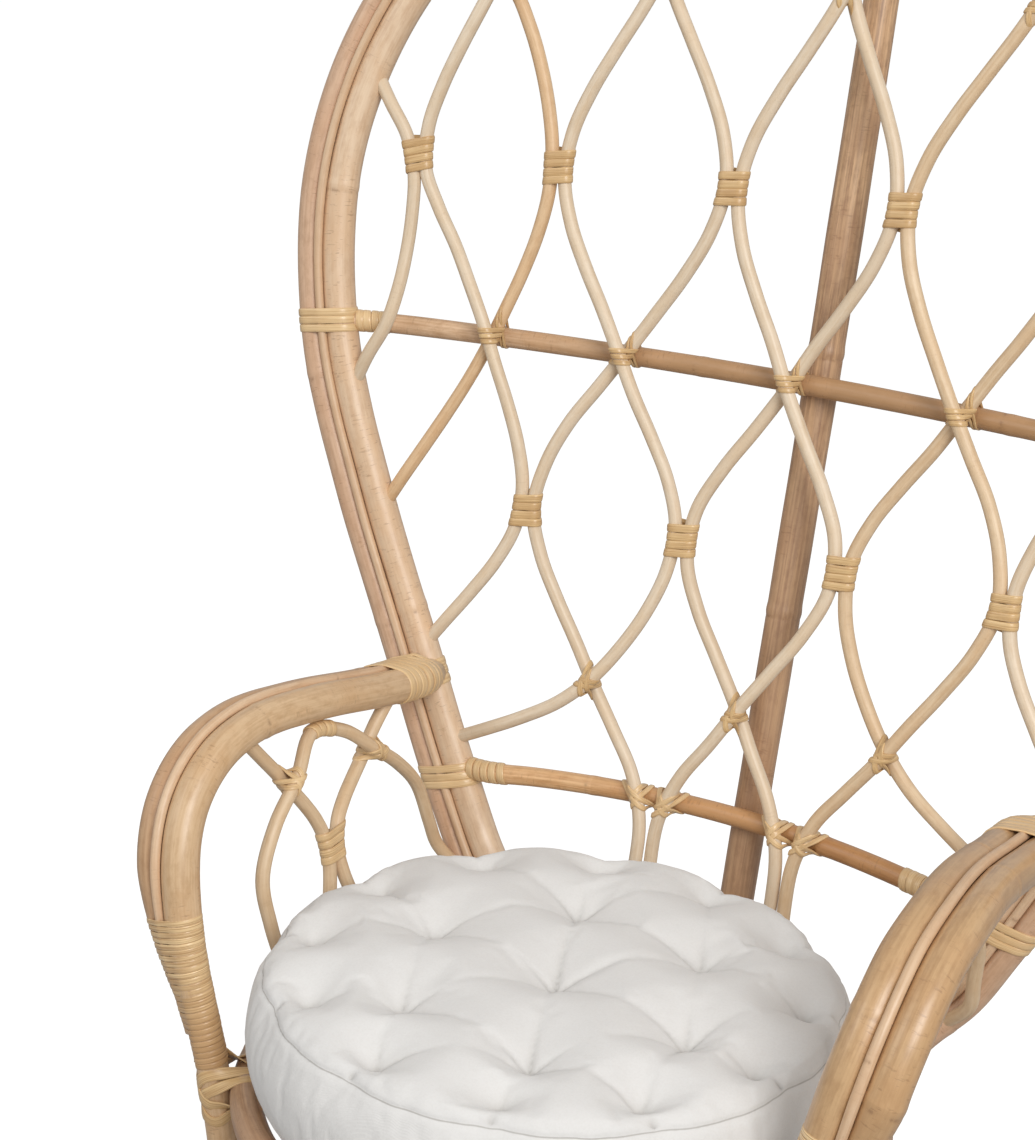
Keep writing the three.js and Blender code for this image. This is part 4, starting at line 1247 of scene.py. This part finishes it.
def seam_pull(angle, gap):
    """How far the seam, its puckers and the tufts beside it draw the cloth in, at a gap from the seam."""
    step = 2 * math.pi / TUFT_EDGE_COUNT
    from_tuft = np.abs((angle - TUFT_EDGE_TURN + step / 2) % step - step / 2)
    drawn = SEAM_DRAW * hump(from_tuft * CUSHION_RADIUS, SEAM_DRAW_SPAN)
    # Waves of counts that share no factor, so that no two puckers are alike
    pucker = np.sin(angle * 61 + 3 * np.sin(angle * 5)) * np.sin(angle * 9 + 0.4) + np.sin(angle * 37 + 1.3)
    return SEAM_DEPTH * hump(gap, SEAM_WIDTH) + (PUCKER_DEPTH * pucker + drawn) * hump(gap, PUCKER_REACH)


def draw_seams(piece, tufts, folds):
    """Creases the top, draws the seam round its edge in, and notes both for the material, which paints shade
    along them.
    """
    corners = corner_array(piece)
    spots = corners[:, :2] - (0, CUSHION_Y)
    far = lengths(spots)
    rise = corners[:, 2] - CUSHION_EDGE_Z
    on_top = np.clip((rise + TOP_REACH) / TOP_FADE, 0, 1) * (far < CUSHION_RADIUS)
    crease = crease_depth(spots, tufts, folds) * on_top
    corners[:, 2] -= crease
    rise = rise - crease
    angle = np.arctan2(spots[:, 1], spots[:, 0])
    pull = seam_pull(angle, np.hypot(far - CUSHION_RADIUS, rise))
    corners[:, :2] -= spots / np.maximum(far, TINY)[:, None] * pull[:, None]
    piece.data.vertices.foreach_set("co", corners.reshape(-1))
    # Masks for the painted shade in the deep creases and along the seam
    add_values(piece.data, "crease", np.clip(crease / CREASE_DEPTH, 0, 1))
    add_values(piece.data, "past_seam", far - CUSHION_RADIUS - rise)
    piece.data.update()


def make_cushion():
    tufts = tuft_spots()
    folds = fold_lines(tufts)
    piece = add_piece("cushion_cotton", cushion_shape(folds), white_cotton, body="cushion")
    remesh = piece.modifiers.new("even_mesh", "REMESH")
    remesh.mode = "VOXEL"
    remesh.voxel_size = CLOTH_STEP
    remesh.use_smooth_shade = True
    keep_modifiers(piece)
    inflate(piece, tufts)
    finer = piece.modifiers.new("finer", "SUBSURF")
    finer.levels = 1
    finer.render_levels = 1
    keep_modifiers(piece)
    draw_seams(piece, tufts, folds)
    make_smooth(piece.data)
    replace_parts(piece, "cushion")


make_cushion()


# Stage

def plain_floor():
    """A wide white floor. What the camera sees of it is lifted to white and keeps the shadow."""
    bpy.ops.mesh.primitive_plane_add(size=FLOOR_SIZE)
    floor = bpy.context.object
    floor.name = "floor"
    shader = Shader("floor_white")
    shader.set(Base_Color=(FLOOR_GREY, FLOOR_GREY, FLOOR_GREY, 1), Roughness=1.0, Specular_IOR_Level=0.0)
    path = shader.node("ShaderNodeLightPath")
    lift = shader.times(path.outputs["Is Camera Ray"], FLOOR_LIFT)
    shader.set(Emission_Color=WHITE, Emission_Strength=lift)
    floor.data.materials.append(shader.material)


def soft_box(name, place, size, power):
    """A square area light that points at the chair."""
    light = bpy.data.lights.new(name, "AREA")
    light.size = size
    light.energy = power
    lamp = bpy.data.objects.new(name, light)
    bpy.context.scene.collection.objects.link(lamp)
    lamp.location = place
    lamp.rotation_euler = (Vector(LIGHT_TARGET) - Vector(place)).to_track_quat("-Z", "Y").to_euler()


def white_surroundings():
    """A dim glow that lights the chair from all round, seen as plain white by the camera."""
    world = bpy.data.worlds.new("studio")
    bpy.context.scene.world = world
    world.use_nodes = True
    tree = world.node_tree
    glow = tree.nodes["Background"]
    glow.inputs["Color"].default_value = WHITE
    path = tree.nodes.new("ShaderNodeLightPath")
    strength = tree.nodes.new("ShaderNodeMapRange")
    strength.inputs["To Min"].default_value = ROOM_GLOW
    tree.links.new(path.outputs["Is Camera Ray"], strength.inputs["Value"])
    tree.links.new(strength.outputs[0], glow.inputs["Strength"])


def photo_camera():
    """The photograph's camera: turned about the vertical, tilted down and rolled."""
    camera = bpy.data.objects.new("photo_camera", bpy.data.cameras.new("photo_camera"))
    camera.data.sensor_width = SENSOR_MM
    camera.data.lens = FOCAL_PIXELS * SENSOR_MM / PHOTO_HEIGHT
    pose = Matrix.Translation(CAMERA_PLACE)
    for angle, axis in ((CAMERA_YAW, "Z"), (math.pi / 2 - CAMERA_TILT, "X"), (CAMERA_ROLL, "Z")):
        pose = pose @ Matrix.Rotation(angle, 4, axis)
    camera.matrix_world = pose
    bpy.context.scene.collection.objects.link(camera)
    bpy.context.scene.camera = camera


plain_floor()
white_surroundings()
for name, (place, size, power) in LIGHTS.items():
    soft_box(name, place, size, power)
photo_camera()
bpy.context.scene.view_settings.view_transform = "Standard"
